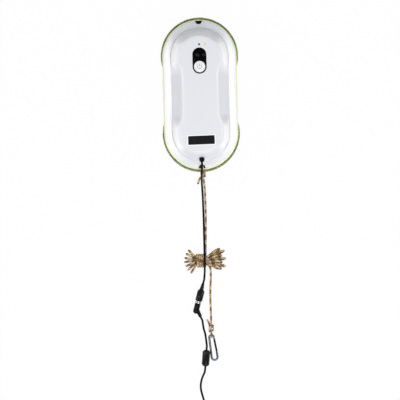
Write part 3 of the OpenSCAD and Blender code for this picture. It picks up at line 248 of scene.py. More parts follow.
gland_tilt = math.radians(30)
gland_seat = Vector((0, -124.5, 54.5))
gland_dir = Vector((0, -math.cos(gland_tilt), math.sin(gland_tilt)))
gland_out = 6.0


def down_dir(angle):
    """A level direction towards the adapter's end, turned by an angle."""
    return Vector((math.sin(angle), -math.cos(angle), 0))


socket_angle = math.radians(16)
socket_dir = down_dir(-socket_angle)
socket_tip = Vector((-3.4, -368, 7))
robot_lead_line = smooth_route(
    [gland_seat + (gland_out + i * lead_d) * gland_dir for i in range(3)]
    + [(-0.3, -143, 63.2), (-0.6, -149, 61.8), (-0.9, -154, 57.5), (-1.2, -158.5, 49.5),
       (-1.4, -163.5, 39.5), (-1.4, -168.5, 29.5), (-1.2, -174.5, 19), (-0.8, -181.5, 10),
       (-0.4, -190.5, 4), (0, -201, 2.4), (0.2, -215, 2), (0.5, -235, 2), (0.6, -252, 2.4),
       (0.6, -267, 5), (0.6, -281, 11.5), (0.6, -295, 21), (0.6, -308, 28.3),
       (0.6, -319, 30.2), (0.6, -330, 29.8), (0.4, -337, 27.6), (0.3, -342, 22.8),
       (0.2, -345, 18.2), (0, -348, 13.6), (-0.4, -353, 8.8)]
    + [socket_tip - i * lead_d * socket_dir for i in (2, 1, 0)], 6)
robot_lead_line = respaced(robot_lead_line, lead_step)
robot_lead = lead_piece("robot_lead_sheath", robot_lead_line, lead_sides, "robot_lead")

plug_start, elbow_in, elbow_leg = 40.6, 10, 18
leg_dir = down_dir(math.radians(24))
leg_end = socket_tip + (plug_start + elbow_in) * socket_dir + elbow_leg * leg_dir
ferrite_angle = math.radians(-5.5)
ferrite_dir = down_dir(ferrite_angle)
ferrite_top = Vector((0, -498, 7.5))
ferrite_l = 32
ferrite_end = ferrite_top + ferrite_l * ferrite_dir
adapter_lead_line = respaced(smooth_route(
    [leg_end + i * lead_d * leg_dir for i in range(3)]
    + [(-4.6, -456, 5), (-2, -466, 3.2), (-0.6, -476, 3.2)]
    + [ferrite_top - i * lead_d * ferrite_dir for i in (2, 1, 0)], 6), lead_step)
adapter_lead = lead_piece("plug_to_bead_sheath", adapter_lead_line, lead_sides, "adapter_lead")

# The spare lead is rolled up outside the picture: flat spirals in and out, one on the
# other, tied by nothing, and its end goes into the adapter's boot.
coil_out, coil_turns, coil_step = 29.0, 8, 4.5
turn_parts = 48
coil_centre = Vector((25, -642))
coil_start = Vector((-4, -642, 2))
coil_line = []
for k in range(coil_turns * turn_parts + 1):
    u = k / turn_parts
    r = coil_out - coil_step * min(u, coil_turns - u)
    z = 2 + coil_step * eased((u - coil_turns / 2) / 0.5 + 0.5)
    a = math.pi + 2 * math.pi * u
    coil_line.append(Vector((coil_centre.x + r * math.cos(a), coil_centre.y + r * math.sin(a), z)))
coil_end = Vector((-4, -646, 6.5))
boot_tip = Vector((0, -692, 15.5))
bead_lead_line = smooth_route(
    [ferrite_end + i * lead_d * ferrite_dir for i in range(3)]
    + [(-5.3, -543, 6.3), (-8.2, -549, 4), (-11.2, -557, 2.5), (-13, -568, 2), (-12.4, -577, 2),
       (-10, -587, 2), (-7.4, -597, 2), (-5, -609, 2), (-4.2, -621, 2)]
    + [coil_start + Vector((0, i * lead_d, 0)) for i in (2, 1)], 6)
adapter_end_line = smooth_route(
    [coil_end - Vector((0, i * lead_d, 0)) for i in range(3)]
    + [(-3.8, -659, 6.8), (-2.8, -668, 9), (-1.2, -677, 13.2)]
    + [boot_tip + Vector((0, i * lead_d, 0)) for i in (2, 1, 0)], 6)
bead_lead_line = respaced(bead_lead_line + coil_line + adapter_end_line, lead_step)
bead_lead = lead_piece("bead_to_adapter_sheath", bead_lead_line, 16,
                       "ferrite_lead", "lead_coil", "adapter_lead_end")

# Safety rope
# A braided polyester safety rope, 3.8 mm thick, tan with brown flecks. A loop and a knot
# hold it to the steel pin in the lower notch; it runs down beside the lead to a hank with
# wraps round its waist, and from the hank to the knot at the hook.
rope_d, rope_step = 3.8, 0.9
half_lay, tracer_gap = 9.0, 17


def mix(a, b, t):
    return a + (b - a) * t


def braid(a, run):
    """Relief of eight crossing strands, each of which goes half round in its half lay."""
    turn = 2 * math.pi * run / half_lay
    return 0.98 + 0.08 * max(abs(math.cos(2 * a + turn)), abs(math.cos(2 * a - turn)))


# Braided polyester filament: matt tan yarn with a slight sheen, pale and brown flecks, and
# painted shade in the gaps where the strands cross
rope_braid, tree, shader = material("braided polyester rope", "#cfae80", Roughness=0.82, Sheen_Weight=0.25,
                                    Sheen_Roughness=0.5)
shader.inputs["Sheen Tint"].default_value = hex_colour("#f2dfc0")
lie = node(tree, "UVMap", uv_map="UVMap")
place = node(tree, "SeparateXYZ", {0: lie.outputs["UV"]})
# A strand shows every 2.2 mm along the rope, and two sets of four go round it
waves = []
for turn in (1.0, -1.0):
    round_it = node(tree, "Math", {0: place.outputs["X"], 1: 4 * turn}, operation="MULTIPLY")
    step = node(tree, "Math", {0: place.outputs["Y"], 1: 1.7, 2: round_it}, operation="MULTIPLY_ADD")
    angle = node(tree, "Math", {0: step, 1: 2 * math.pi}, operation="MULTIPLY")
    waves.append(node(tree, "Math", {0: angle}, operation="SINE"))
strand = node(tree, "Math", {0: waves[0].outputs[0], 1: waves[1].outputs[0]}, operation="MAXIMUM")
lift = node(tree, "MapRange", {"Value": strand, "From Min": -0.4, "From Max": 1.0})
spot = node(tree, "TexCoord")
fleck = node(tree, "TexNoise",
             {"Vector": spot.outputs["Object"], "Scale": 210, "Detail": 3, "Roughness": 0.6})
yarn = node(tree, "ValToRGB", {"Fac": fleck})
stops = yarn.color_ramp.elements
stops[0].position, stops[0].color = 0.36, hex_colour("#a88350")
stops[1].position, stops[1].color = 0.6, hex_colour("#fff2d6")
stops.new(0.5).color = hex_colour("#ebca98")
# Painted shade: the yarn turns dark brown in the low gaps between the strands
painted_crevice_shade = node(tree, "Mix", {"Factor": lift, "A": hex_colour("#7a5832"), "B": yarn}, data_type="RGBA")
# A brown tracer yarn comes up every 17 mm along the rope
tracer_step = node(tree, "Math", {0: place.outputs["Y"], 1: 2 * math.pi * rope_d / tracer_gap},
                   operation="MULTIPLY")
tracer_wave = node(tree, "Math", {0: tracer_step}, operation="SINE")
tracer = node(tree, "MapRange", {"Value": tracer_wave, "From Min": 0.0, "From Max": 0.4, "To Max": 0.78})
dashed = node(tree, "Mix", {"Factor": tracer, "A": painted_crevice_shade.outputs["Result"], "B": hex_colour("#5a3f22")},
              data_type="RGBA")
tree.links.new(dashed.outputs["Result"], shader.inputs["Base Color"])
fibre = node(tree, "TexNoise", {"Vector": spot.outputs["Object"], "Scale": 2500, "Detail": 2})
height = node(tree, "Math", {0: fibre, 1: 0.25, 2: lift}, operation="MULTIPLY_ADD")
dent = node(tree, "Bump", {"Height": height, "Strength": 0.7, "Distance": 0.0004})
tree.links.new(dent.outputs[0], shader.inputs["Normal"])


def rope_piece(name, line, *nodes):
    """A length of the rope that stands for the named CAD nodes."""
    made = cord_tube(name, respaced(line, rope_step), rope_d, 16, braid)
    made.data.materials.append(rope_braid)
    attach(made, "robot")
    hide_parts(*nodes)
    return made


loop_leg, pin_bend_r, hook_bend_r = 5.5, 3.0, 4.1
knot_pitch, knot_r, knot_turns, knot_parts = 4.3, 3.61, 3, 24
knot_half = 6.45


def loop_line(centre, tilt, turned, r):
    """A bend round a bar with two straight legs, in the upright plane of the run."""
    flat = [(-loop_leg, -r), (-loop_leg / 2, -r)]
    for degrees in range(0, 181, 15):
        flat.append((r * math.sin(math.radians(degrees)), -r * math.cos(math.radians(degrees))))
    flat += [(-loop_leg / 2, r), (-loop_leg, r)]
    line = []
    for y, z in flat:
        y, z = y * math.cos(tilt) - z * math.sin(tilt), y * math.sin(tilt) + z * math.cos(tilt)
        line.append(Vector(centre) + Vector((0, -y if turned else y, z)))
    return line


def knot_line(start, along, side, up, tail):
    """Three turns round the standing rope and a short cut end."""
    line = []
    for k in range(knot_turns * knot_parts + 1):
        a = 2 * math.pi * k / knot_parts
        line.append(start + (rope_d / 2 + knot_pitch * k / knot_parts) * along
                    + knot_r * (math.cos(a) * side + math.sin(a) * up))
    return smooth_route(line + tail, 3)


anchor_tilt = math.radians(25)
anchor_at = Vector((1.7, -142.3, 37.8))
anchor_dir = Vector((0, -math.cos(anchor_tilt), -math.sin(anchor_tilt)))
anchor_up = Vector((0, -math.sin(anchor_tilt), math.cos(anchor_tilt)))
anchor_from = anchor_at + loop_leg * anchor_dir
anchor_bend = loop_line(anchor_at, anchor_tilt, False, pin_bend_r)
anchor_loop = rope_piece("rope_loop_on_pin", anchor_bend, "anchor_loop")
anchor_knot = rope_piece("rope_knot_at_robot", knot_line(
    anchor_from, anchor_dir, Vector((-1, 0, 0)), anchor_up,
    [(-4.6, -163, 26.5), (-7.2, -168, 21), (-8.6, -173, 15)]), "anchor_knot")

# Four wraps go round the waist of the hank, square with round corners
hank_y, hank_z, wrap_x = -323.6, 13.8, 2.2
waist_step, layer_step = 4.3, 4.83
wraps, wrap_slack = 4, 0.6
wrap_out = 1.5 * layer_step + rope_d + wrap_slack


def wrap_point(u):
    a = -math.pi / 2 - 2 * math.pi * u
    r = wrap_out / (abs(math.cos(a)) ** 5 + abs(math.sin(a)) ** 5) ** 0.2
    return Vector((wrap_x - waist_step * u, hank_y + r * math.cos(a), hank_z + r * math.sin(a)))


wrap_lead = Vector((rope_d / 24, rope_d, 0))
upper_from = anchor_from + rope_d / 2 * anchor_dir
upper_line = smooth_route(
    [upper_from + i * knot_half * anchor_dir for i in range(3)]
    + [(3.2, -171, 22.5), (3.9, -180, 12), (4.5, -190, 5), (4.8, -201, 2.4), (4.9, -215, 2),
       (4.9, -240, 1.9), (4.4, -265, 1.9), (3.6, -285, 1.9), (3.1, -298, 1.9)]
    + [wrap_point(0) + i * wrap_lead for i in (3, 2, 1)], 6)
upper_line += [wrap_point(k / turn_parts) for k in range(wraps * turn_parts + 1)]
upper_rope = rope_piece("rope_upper_run_and_wraps", upper_line, "rope_upper_run", "rope_wraps")

# Eight folds fan out on each side of the waist, in two layers over and under it
hank_loops, fold_r, fold_parts = 8, 3 * rope_d, 6
left_waist, right_waist = Vector((-15.8, -323.2)), Vector((4, -324))
waist_bulge, lean, climb = 2.7, 0.17, 2.23


def left_root(i):
    return left_waist - Vector((waist_bulge * (1 - abs(2 * i / (hank_loops - 1) - 1)), 0))


def right_root(i):
    return right_waist


# A fan's root at the waist, its first and last direction in degrees, how far its outer and
# inner loops reach, and the share of a strand's way at which its fold takes over
left_fan = (left_root, (248, 126), (16.9, 22.5), 0.35)
right_fan = (right_root, (-30, 30), (30.2, 37), 0.44)


def fan_dir(fan, i):
    first, last = fan[1]
    a = math.radians(first + (last - first) * i / (hank_loops - 1))
    return Vector((math.cos(a), math.sin(a)))


def fan_reach(fan, i):
    return fan[2][1 if i % 2 == 0 else 0]


def fan_root(fan, i):
    return fan[0](i) + Vector((0, (i - (hank_loops - 1) / 2) * waist_step / 2))


def leaned(fan, i, rise):
    """Each loop leans a little, so its upper strand lies beside its lower one."""
    d = fan_dir(fan, i)
    return lean * rise * Vector((-d.y, d.x))


def strand_point(fan, i, t, up):
    """A place on one strand between the waist (t = 0) and its fold (t = 1)."""
    inner = i % 2 == 0
    side = fan[0](i) + Vector((0, (i // 2 - 1.5) * waist_step))
    far = fan_root(fan, i) + (fan_reach(fan, i) - fold_r) * fan_dir(fan, i)
    flat = side.lerp(far, t)
    level = layer_step / 2 if inner else 1.5 * layer_step
    lift = level + (fold_r - level) * (t ** climb if inner else t)
    flat += leaned(fan, i, t * up * lift)
    return Vector((flat.x, flat.y, hank_z + up * lift))


def fold_point(fan, i, degrees):
    """A place on the bend at a strand's end; i is a fraction on the way to the next loop."""
    low = math.floor(i)
    reach = mix(fan_reach(fan, low), fan_reach(fan, math.ceil(i)), i - low)
    a = math.radians(degrees)
    p = fan_root(fan, i) + (reach - fold_r + fold_r * math.cos(a)) * fan_dir(fan, i)
    p += leaned(fan, i, fold_r * math.sin(a))
    return Vector((p.x, p.y, hank_z + fold_r * math.sin(a)))


def across(i, up):
    """A strand from its left fold over or under the waist to its right one."""
    left = [strand_point(left_fan, i, t, up) for t in (left_fan[3], 0)]
    right = [strand_point(right_fan, i, t, up) for t in (0, right_fan[3])]
    return left + [left[1].lerp(right[0], 0.5)] + right


hank_line = []
for i in range(hank_loops - 1, 0, -1):
    hank_line += [p for p in across(i, -1) if i < hank_loops - 1 or p.x > left_waist.x]
    for k in range(fold_parts + 1):
        hank_line.append(fold_point(right_fan, i, -90 + 180 * k / fold_parts))
    hank_line += across(i, 1)[::-1]
    for k in range(fold_parts + 1):
        hank_line.append(fold_point(left_fan, i - k / fold_parts, 90 - 180 * k / fold_parts))
hank_end = Vector((12, -350, 1.9))
hank_line += across(0, -1)[:3]
hank_line += [Vector(q) for q in ((5, -330.8, 11.4), (9.5, -334.5, 10.5), (12, -340, 6.5))]
hank_line += [hank_end + Vector((0, rope_d, 0)), hank_end]
# Rope doesn't turn sharp corners: each is cut twice
for _ in range(2):
    softer = [hank_line[0]]
    for a, b in zip(hank_line, hank_line[1:]):
        softer += [a.lerp(b, 0.25), a.lerp(b, 0.75)]
    hank_line = softer + [hank_line[-1]]

hook_eye_z, hook_tip_z, hook_l, eye_gap = 6.4, 2.1, 39, 4.5
hook_eye = Vector((10.4, -474, hook_eye_z))
hook_pitch = math.asin((hook_eye_z - hook_tip_z) / hook_l)
end_at = hook_eye + eye_gap * Vector((0, math.cos(hook_pitch), math.sin(hook_pitch)))
end_from = end_at + Vector((0, loop_leg, 0))
lower_line = smooth_route(
    [hank_end - Vector((0, i * rope_d, 0)) for i in range(3)]
    + [(11.6, -362, 1.9), (10.4, -380, 1.9), (10, -400, 2), (10.2, -420, 2.3), (10.4, -434, 4)]
    + [end_from + Vector((0, rope_d / 2 + i * knot_half, 0)) for i in (2, 1, 0)], 6)
hank_line += lower_line[1:]
hank_rope = rope_piece("rope_hank_and_lower_run", hank_line, "rope_hank", "rope_lower_run")
end_loop = rope_piece("rope_loop_in_hook", loop_line(end_at, 0, True, hook_bend_r), "hook_loop")
end_knot = rope_piece("rope_knot_at_hook", knot_line(
    end_from, Vector((0, 1, 0)), Vector((-1, 0, 0)), Vector((0, 0, 1)),
    [(5.4, -444, 4), (2.6, -439, 5)]), "end_knot")

# Moulded cover
# The cover is one white glossy ABS moulding, 2.2 mm thick. A flat rim runs all round;
# the body rises out of a fine groove, full at four shoulders and hollowed at the grips
# and at both ends. It has a notch at each end and a round pocket for the gland.
shell_r, shell_half, wall = 70.5, 73.5, 2.2
seam_z, rim_z, panel_z = 30.0, 45.0, 80.0
groove_w, groove_h = 1.2, 0.8
end_full, end_fade, grip_full, grip_fade = 34, 28, 38, 26
side_rim, end_rim, rim_fall = 14.0, 12.5, 0.055
slope_in, grip_in, end_in = 26.5, 7.0, 4.0
inside_rings = (1, 3, 4, 6, 9, 12, 15, 18, 21)
rise_shares = (0.02, 0.05, 0.09, 0.13, 0.18, 0.24, 0.31, 0.38,
               0.46, 0.54, 0.62, 0.7, 0.78, 0.86, 0.93, 1.0)


def hollow_at(from_end, y):
    """1 in the middle of an end or a grip, 0 at the full shoulders between them."""
    if from_end < 90:
        return 1 - eased((from_end - end_full) / end_fade)
    return 1 - eased((abs(y) - grip_full) / grip_fade)


def cover_profile(angle, y):
    """Places on the cover's skin as (in from the shell's side, height)."""
    from_end = abs(90 - angle % 180)
    on_arc = from_end < 90
    hollow = hollow_at(from_end, y)
    rim = mix(side_rim, end_rim, math.sin(math.radians(angle)) ** 2) if on_arc else side_rim
    end = slope_in + hollow * (end_in if on_arc else grip_in)
    skin = [(0, seam_z), (0.4, rim_z - 3.4), (0.78, rim_z - 2.0), (1.59, rim_z - 1.02), (2.6, rim_z - 0.3),
            (3.8, rim_z), (rim - 0.35, rim_z), (rim, rim_z - 0.1), (rim + 0.35, rim_z - groove_h)]
    skin = [skin[0]] + [(q, z - rim_fall * max(rim - q, 0)) for q, z in skin[1:]]
    for t in rise_shares:
        shoulder = (1 - (1 - t) ** 2.5) ** 0.4
        rise = mix(shoulder, mix(t, eased(t), 0.45), hollow)
        skin.append((mix(rim + groove_w, end, t), mix(rim_z - groove_h, panel_z - 0.7, rise)))
    return skin + [(end + 1.6, panel_z - 0.2), (end + 3.2, panel_z), (end + 6, panel_z)]


def cover_stations(side_steps, arc_steps):
    """Stations round the shell, as (direction of its side, middle of its arc)."""
    made = []
    for first, y in ((0, shell_half), (180, -shell_half)):
        made += [(first, mix(-y, y, i / side_steps)) for i in range(side_steps)]
        made += [(first + 180 * i / arc_steps, y) for i in range(arc_steps)]
    return made


def stadium_loft(name, profiles, stations):
    """A closed solid from one profile at every station round the shell."""
    rings = len(profiles[0])
    verts = []
    for k in range(rings):
        for (angle, y), profile in zip(stations, profiles):
            r, a = shell_r - profile[k][0], math.radians(angle)
            verts.append(Vector((r * math.cos(a), y + r * math.sin(a), profile[k][1])) * mm)
    return piece_from(name, verts, tube_faces(rings, len(stations)))


def only(piece):
    """Selects one piece and nothing else."""
    bpy.ops.object.select_all(action="DESELECT")
    piece.select_set(True)
    bpy.context.view_layer.objects.active = piece
    return piece


def cylinder(d, h, place, turn=(0, 0, 0), sides=96):
    """A round cutter or blank that starts at a place and goes along its own axis."""
    bpy.ops.object.select_all(action="DESELECT")
    axis = Vector((0, 0, 1))
    axis.rotate(Euler(turn))
    bpy.ops.mesh.primitive_cylinder_add(vertices=sides, radius=d / 2 * mm, depth=h * mm, rotation=turn,
                                        location=(Vector(place) + axis * h / 2) * mm)
    bpy.ops.object.transform_apply(location=True, rotation=True, scale=True)
    return bpy.context.object


def cut(piece, tool, how="DIFFERENCE"):
    """Cuts a tool out of a piece, or joins it on, and removes the tool."""
    step = only(piece).modifiers.new("cut", "BOOLEAN")
    step.object, step.operation, step.solver = tool, how, "EXACT"
    bpy.ops.object.modifier_apply(modifier="cut")
    bpy.data.objects.remove(tool)


stations = cover_stations(70, 84)
outer = [cover_profile(*station) for station in stations]
inner = []
for p in outer:
    ring = [(wall, seam_z - 0.5)]
    for j in inside_rings:
        a, b = Vector(p[j - 1]), Vector(p[min(j + 1, len(p) - 1)])
        d = (b - a).normalized()
        ring.append((p[j][0] + wall * d[1], p[j][1] - wall * d[0]))
    end = p[-3][0]
    inner.append(ring + [(end + 1.2 * wall, panel_z - 1.4 * wall),
                         (end + 5, panel_z - wall), (end + 7, panel_z - wall)])
cover = stadium_loft("moulded_cover", outer, stations)
cavity = stadium_loft("cover_cavity", inner, stations)
pocket_d, pocket_h, notch_d, notch_y = 17, 17, 13, 142.7
gland_hole_d, gland_seat_d = 7, 9.6
light_d, light_y, light_gap = 4, 96, 11.5
gland_turn = (math.pi / 2 - gland_tilt, 0, 0)
cut(cavity, cylinder(pocket_d + 2 * wall, pocket_h, gland_seat - wall * gland_dir, gland_turn))
cut(cover, cavity)
for side in (-1, 1):
    cut(cover, cylinder(notch_d, rim_z - seam_z + 2, (0, side * notch_y, seam_z - 1)))
cut(cover, cylinder(pocket_d, 2 * pocket_h, gland_seat, gland_turn))
cut(cover, cylinder(gland_hole_d, 12, gland_seat - 6 * gland_dir, gland_turn))
cut(cover, cylinder(gland_seat_d, 3, gland_seat - 5.2 * gland_dir, gland_turn))
for x in (-light_gap, 0, light_gap):
    cut(cover, cylinder(light_d, 6, (x, light_y, panel_z - 4), sides=40))
window_y, window_w, window_l = 64.5, 27.0, 50.4
window_run = (window_l - window_w) / 2


def stadium_blank(name, w, run, y, low, high, sides=64):
    """A flat stadium along Y, made from one circle that is split and drawn apart."""
    bpy.ops.object.select_all(action="DESELECT")
    bpy.ops.mesh.primitive_cylinder_add(vertices=sides, radius=w / 2 * mm, depth=(high - low) * mm,
                                        location=(0, y * mm, (low + high) / 2 * mm))
    bpy.ops.object.transform_apply(location=True, rotation=True, scale=True)
    made = bpy.context.object
    made.name = name
    for vert in made.data.vertices:
        off = vert.co.y - y * mm
        vert.co.y += math.copysign(run * mm, off) if abs(off) > 1e-7 else 0
    return made


window_cut = stadium_blank("window_cut", window_w + 0.2, window_run, window_y,
                           panel_z - 4, panel_z + 2, 62)
cut(cover, window_cut)
rounding = only(cover).modifiers.new("soft edges", "BEVEL")
rounding.width, rounding.segments, rounding.angle_limit = 0.35 * mm, 2, math.radians(50)
rounding.limit_method = "ANGLE"
bpy.ops.object.modifier_apply(modifier="soft edges")
bpy.ops.object.shade_smooth_by_angle(angle=math.radians(32))

# Painted light: the rim and the shoulders are painted whiter than the panel, the grips and the ends, and the
# rim greyer towards the ends.
# Each point takes its share of painted light from its place on the skin. It is a fit to the look and no
# known fact
rim_edge = 14.2
painted_light = cover.data.attributes.new("painted_light", "FLOAT", "POINT")
for vert in cover.data.vertices:
    x, y = vert.co.x / mm, vert.co.y / mm
    past = max(abs(y) - shell_half, 0)
    inward = shell_r - math.hypot(x, past)
    from_end = math.degrees(math.atan2(abs(x), past)) if past else 90
    if inward < rim_edge:
        painted_light_share = 0.1 + 0.9 * eased((from_end - 20) / 55)
    else:
        painted_light_share = (1 - hollow_at(from_end, y)) * (1 - eased((inward - 20) / 10))
    painted_light.data[vert.index].value = painted_light_share

# Moulded ABS: bluish white, glossy, with the finest orange peel
white_abs, tree, shader = material("glossy moulded ABS", "#e9eaee", Roughness=0.22, Coat_Weight=0.25,
                                   Coat_Roughness=0.08, Subsurface_Weight=0.04, Subsurface_Scale=0.002)
spot = fine_relief(tree, shader, 420, 2, 0.06, 0.00006)[0]
wear = node(tree, "TexNoise", {"Vector": spot, "Scale": 35, "Detail": 4})
rough = node(tree, "MapRange", {"Value": wear, "To Min": 0.17, "To Max": 0.3})
tree.links.new(rough.outputs[0], shader.inputs["Roughness"])
painted_light_attr = node(tree, "Attribute", attribute_name="painted_light")
# Painted light: the share mixes the panel's grey white with the whiter white of the lit rim and shoulders
shade = node(tree, "Mix",
             {"Factor": painted_light_attr.outputs["Fac"], "A": hex_colour("#e2e3e8"), "B": hex_colour("#fbfbfd")},
             data_type="RGBA")
tree.links.new(shade.outputs["Result"], shader.inputs["Base Color"])
cover.data.materials.append(white_abs)
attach(cover, "robot")
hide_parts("cover")

# Film plate
# A bare black film plate lies on the lower end of the panel, 51.4 x 17 mm. It has two
# rounded layers, a white backing and the black face, and the film is nearly flat black.
plate_y, plate_turn = -89.3, math.radians(1)
film_black, tree, shader = material("black printed film", "#0c0c0f", Roughness=0.3, Specular_IOR_Level=0.1)
spot = node(tree, "TexCoord")
speck = node(tree, "TexNoise", {"Vector": spot.outputs["Object"], "Scale": 1500, "Detail": 2})
shade = node(tree, "Mix", {"Factor": speck, "A": hex_colour("#08080a"), "B": hex_colour("#131318")},
             data_type="RGBA")
tree.links.new(shade.outputs["Result"], shader.inputs["Base Color"])
backing_film, tree, shader = material("white backing film", "#fdfdfe", Roughness=0.35)
fine_relief(tree, shader, 900, 2, 0.08, 0.00005)
for name, w, l, low, high, finish, slot in (
    ("plate_backing", 54.6, 20.2, 79.9, 80.08, backing_film, "white_shell"),
    ("bare_plate", 51.4, 17.0, 80.0, 80.22, film_black, "window_black"),
):
    bpy.ops.object.select_all(action="DESELECT")
    bpy.ops.mesh.primitive_cube_add(size=1, location=(0, plate_y * mm, (low + high) / 2 * mm),
                                    rotation=(0, 0, plate_turn))
    bpy.ops.transform.resize(value=(w * mm, l * mm, (high - low) * mm), orient_type="LOCAL")
    bpy.ops.object.transform_apply(location=True, rotation=True, scale=True)
    plate = bpy.context.object
    plate.name = name
    bpy.ops.object.mode_set(mode="EDIT")
    bpy.ops.mesh.select_mode(type="EDGE")
    bpy.ops.mesh.select_all(action="DESELECT")
    bpy.ops.object.mode_set(mode="OBJECT")
    for edge in plate.data.edges:
        a, b = (plate.data.vertices[v].co for v in edge.vertices)
        edge.select = abs(a.z - b.z) > 0.05 * mm
    bpy.ops.object.mode_set(mode="EDIT")
    bpy.ops.mesh.bevel(offset=1.0 * mm, segments=6, affect="EDGES")
    bpy.ops.object.mode_set(mode="OBJECT")
    bpy.ops.object.shade_smooth_by_angle(angle=math.radians(32))
    plate.data.materials.append(finish)
    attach(plate, "robot")

# Bumper strip and base
# A pale lime soft rubber strip guards the seam all round, and under it lies the grey
# moulded base. Both keep the shape of their solids with merged skins, and the base has soft edges.
def polished(source, name, body, finish, bevel=0.0, smooth=35):
    """A copy of a CAD node with merged points, and soft edges when a bevel is given, which stands for it."""
    made = bpy.data.objects.new(name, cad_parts[source].data.copy())
    bpy.context.collection.objects.link(made)
    only(made)
    bpy.ops.object.mode_set(mode="EDIT")
    bpy.ops.mesh.select_mode(type="VERT")
    bpy.ops.mesh.select_all(action="SELECT")
    bpy.ops.mesh.remove_doubles(threshold=0.002 * mm)
    bpy.ops.mesh.dissolve_limited(angle_limit=math.radians(0.5))
    bpy.ops.object.mode_set(mode="OBJECT")
    if bevel:
        rounding = made.modifiers.new("soft edges", "BEVEL")
        rounding.width, rounding.segments, rounding.angle_limit = bevel * mm, 2, math.radians(40)
        rounding.limit_method = "ANGLE"
        bpy.ops.object.modifier_apply(modifier="soft edges")
    bpy.ops.object.shade_smooth_by_angle(angle=math.radians(smooth))
    made.data.materials.clear()
    made.data.materials.append(finish)
    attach(made, body)
    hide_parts(source)
    return made


def grained(name, colour, other, scale, low, high, depth=0.00004, **sockets):
    """A moulded or cast surface: two near colours, uneven gloss and a fine grain, which is
    drawn coarser than the real one so that it shows."""
    made, tree, shader = material(name, colour, **sockets)
    spot = fine_relief(tree, shader, scale, 4, 0.25, depth)[0]
    cloud = node(tree, "TexNoise", {"Vector": spot, "Scale": scale / 12, "Detail": 3})
    shade = node(tree, "Mix", {"Factor": cloud, "A": hex_colour(colour), "B": hex_colour(other)},
                 data_type="RGBA")
    rough = node(tree, "MapRange", {"Value": cloud, "To Min": low, "To Max": high})
    tree.links.new(shade.outputs["Result"], shader.inputs["Base Color"])
    tree.links.new(rough.outputs[0], shader.inputs["Roughness"])
    return made


# Soft rubber lets a little light through; textured ABS is matt, plated screws are bright
lime_rubber = grained("pale lime soft rubber", "#f6ffcb", "#effabc", 700, 0.45, 0.6, Subsurface_Weight=0.1,
                      Subsurface_Scale=0.002)
polished("bumper_strip", "rubber_strip", "robot", lime_rubber, 0, 40)
grey_abs = grained("grey textured ABS", "#5c5e60", "#525456", 1100, 0.45, 0.62, 0.00008)
polished("base_housing", "ribbed_base", "robot", grey_abs, 0.2)
zinc_screw = grained("zinc-plated screw steel", "#b9bcc0", "#a6a9ad", 900, 0.25, 0.4, Metallic=1.0)
polished("cover_screws", "case_screws", "robot", zinc_screw, 0.15)

# Wiping pads
# Each pad is a ring of olive microfibre cloth with a short pile, under a spinning disc.
# Its hem is turned up round the disc and overlocked, so dark stitches and ragged pile
# show all round. The hole in the middle lets the fan draw the air out.

# Microfibre pile: matt olive tufts in blotchy tones, painted shade in the gaps between the tufts, and a soft
# sheen
microfibre, tree, shader = material("olive microfibre pile", "#aab47c", Roughness=0.95, Sheen_Weight=0.5,
                                    Sheen_Roughness=0.6)
shader.inputs["Sheen Tint"].default_value = hex_colour("#e4eab8")
spot = node(tree, "TexCoord")
tuft = node(tree, "TexVoronoi", {"Vector": spot.outputs["Object"], "Scale": 620})
blotch = node(tree, "TexNoise",
              {"Vector": spot.outputs["Object"], "Scale": 130, "Detail": 5, "Roughness": 0.65})
cloth = node(tree, "ValToRGB", {"Fac": blotch})
stops = cloth.color_ramp.elements
stops[0].position, stops[0].color = 0.34, hex_colour("#87926a")
stops[1].position, stops[1].color = 0.66, hex_colour("#dbe3ae")
stops.new(0.5).color = hex_colour("#b7c37e")
tuft_height_and_shade = node(tree, "MapRange",
            {"Value": tuft.outputs["Distance"], "From Max": 0.9, "To Min": 1.0, "To Max": 0.0})
# Painted shade: the cloth turns dark olive towards the edge of each tuft; the same value lifts the tufts'
# relief
shade = node(tree, "Mix", {"Factor": tuft_height_and_shade, "A": hex_colour("#6b7548"), "B": cloth}, data_type="RGBA")
tree.links.new(shade.outputs["Result"], shader.inputs["Base Color"])
pile = node(tree, "TexNoise", {"Vector": spot.outputs["Object"], "Scale": 1900, "Detail": 3})
height = node(tree, "Math", {0: pile, 1: 0.5, 2: tuft_height_and_shade}, operation="MULTIPLY_ADD")
dent = node(tree, "Bump", {"Height": height, "Strength": 0.9, "Distance": 0.0006})
tree.links.new(dent.outputs[0], shader.inputs["Normal"])
stitch_thread = grained("dark olive overlock thread", "#4a5330", "#2f361d", 1800, 0.7, 0.9, 0.0001)

pad_r, pad_hole_r, pad_t, hem_t = 74.5, 24.0, 6.0, 2.8
pad_y, pile_limit, pad_steps = 75.5, 75.42, 540
stitches_round, thread_r = 74, 0.58
pad_profile = [(pad_hole_r + q, z) for q, z in ((0.6, pad_t), (0.15, 5.4), (0, 4.2), (0.1, 1.6), (0.8, 0.5))]
pad_profile += [(mix(pad_hole_r + 2, pad_r - 3, i / 24), 0.25) for i in range(25)]
pad_profile += [(pad_r - 3 + 3 * math.sin(a), 3 - 2.9 * math.cos(a)) for a in (0.45, 0.9, 1.35)]
pad_profile += [(pad_r, z) for z in (4.4, 5.6, 6.8, 8, 9.2, 10.4, 11.4)]
pad_profile += [(pad_r - 1.4 + 1.4 * math.cos(a), 11.6 + 1.4 * math.sin(a))
                for a in (0.4, 0.9, 1.57, 2.24, 2.8)]
pad_profile += [(pad_r - hem_t, z) for z in (10.8, 9.4, 8, 6.9)] + [(pad_r - hem_t - 0.6, pad_t)]
pad_profile += [(mix(pad_r - 5, pad_hole_r + 3, i / 10), pad_t) for i in range(11)]


def outward(piece):
    """Points every face of a piece outwards."""
    only(piece)
    bpy.ops.object.mode_set(mode="EDIT")
    bpy.ops.mesh.select_all(action="SELECT")
    bpy.ops.mesh.normals_make_consistent(inside=False)
    bpy.ops.object.mode_set(mode="OBJECT")


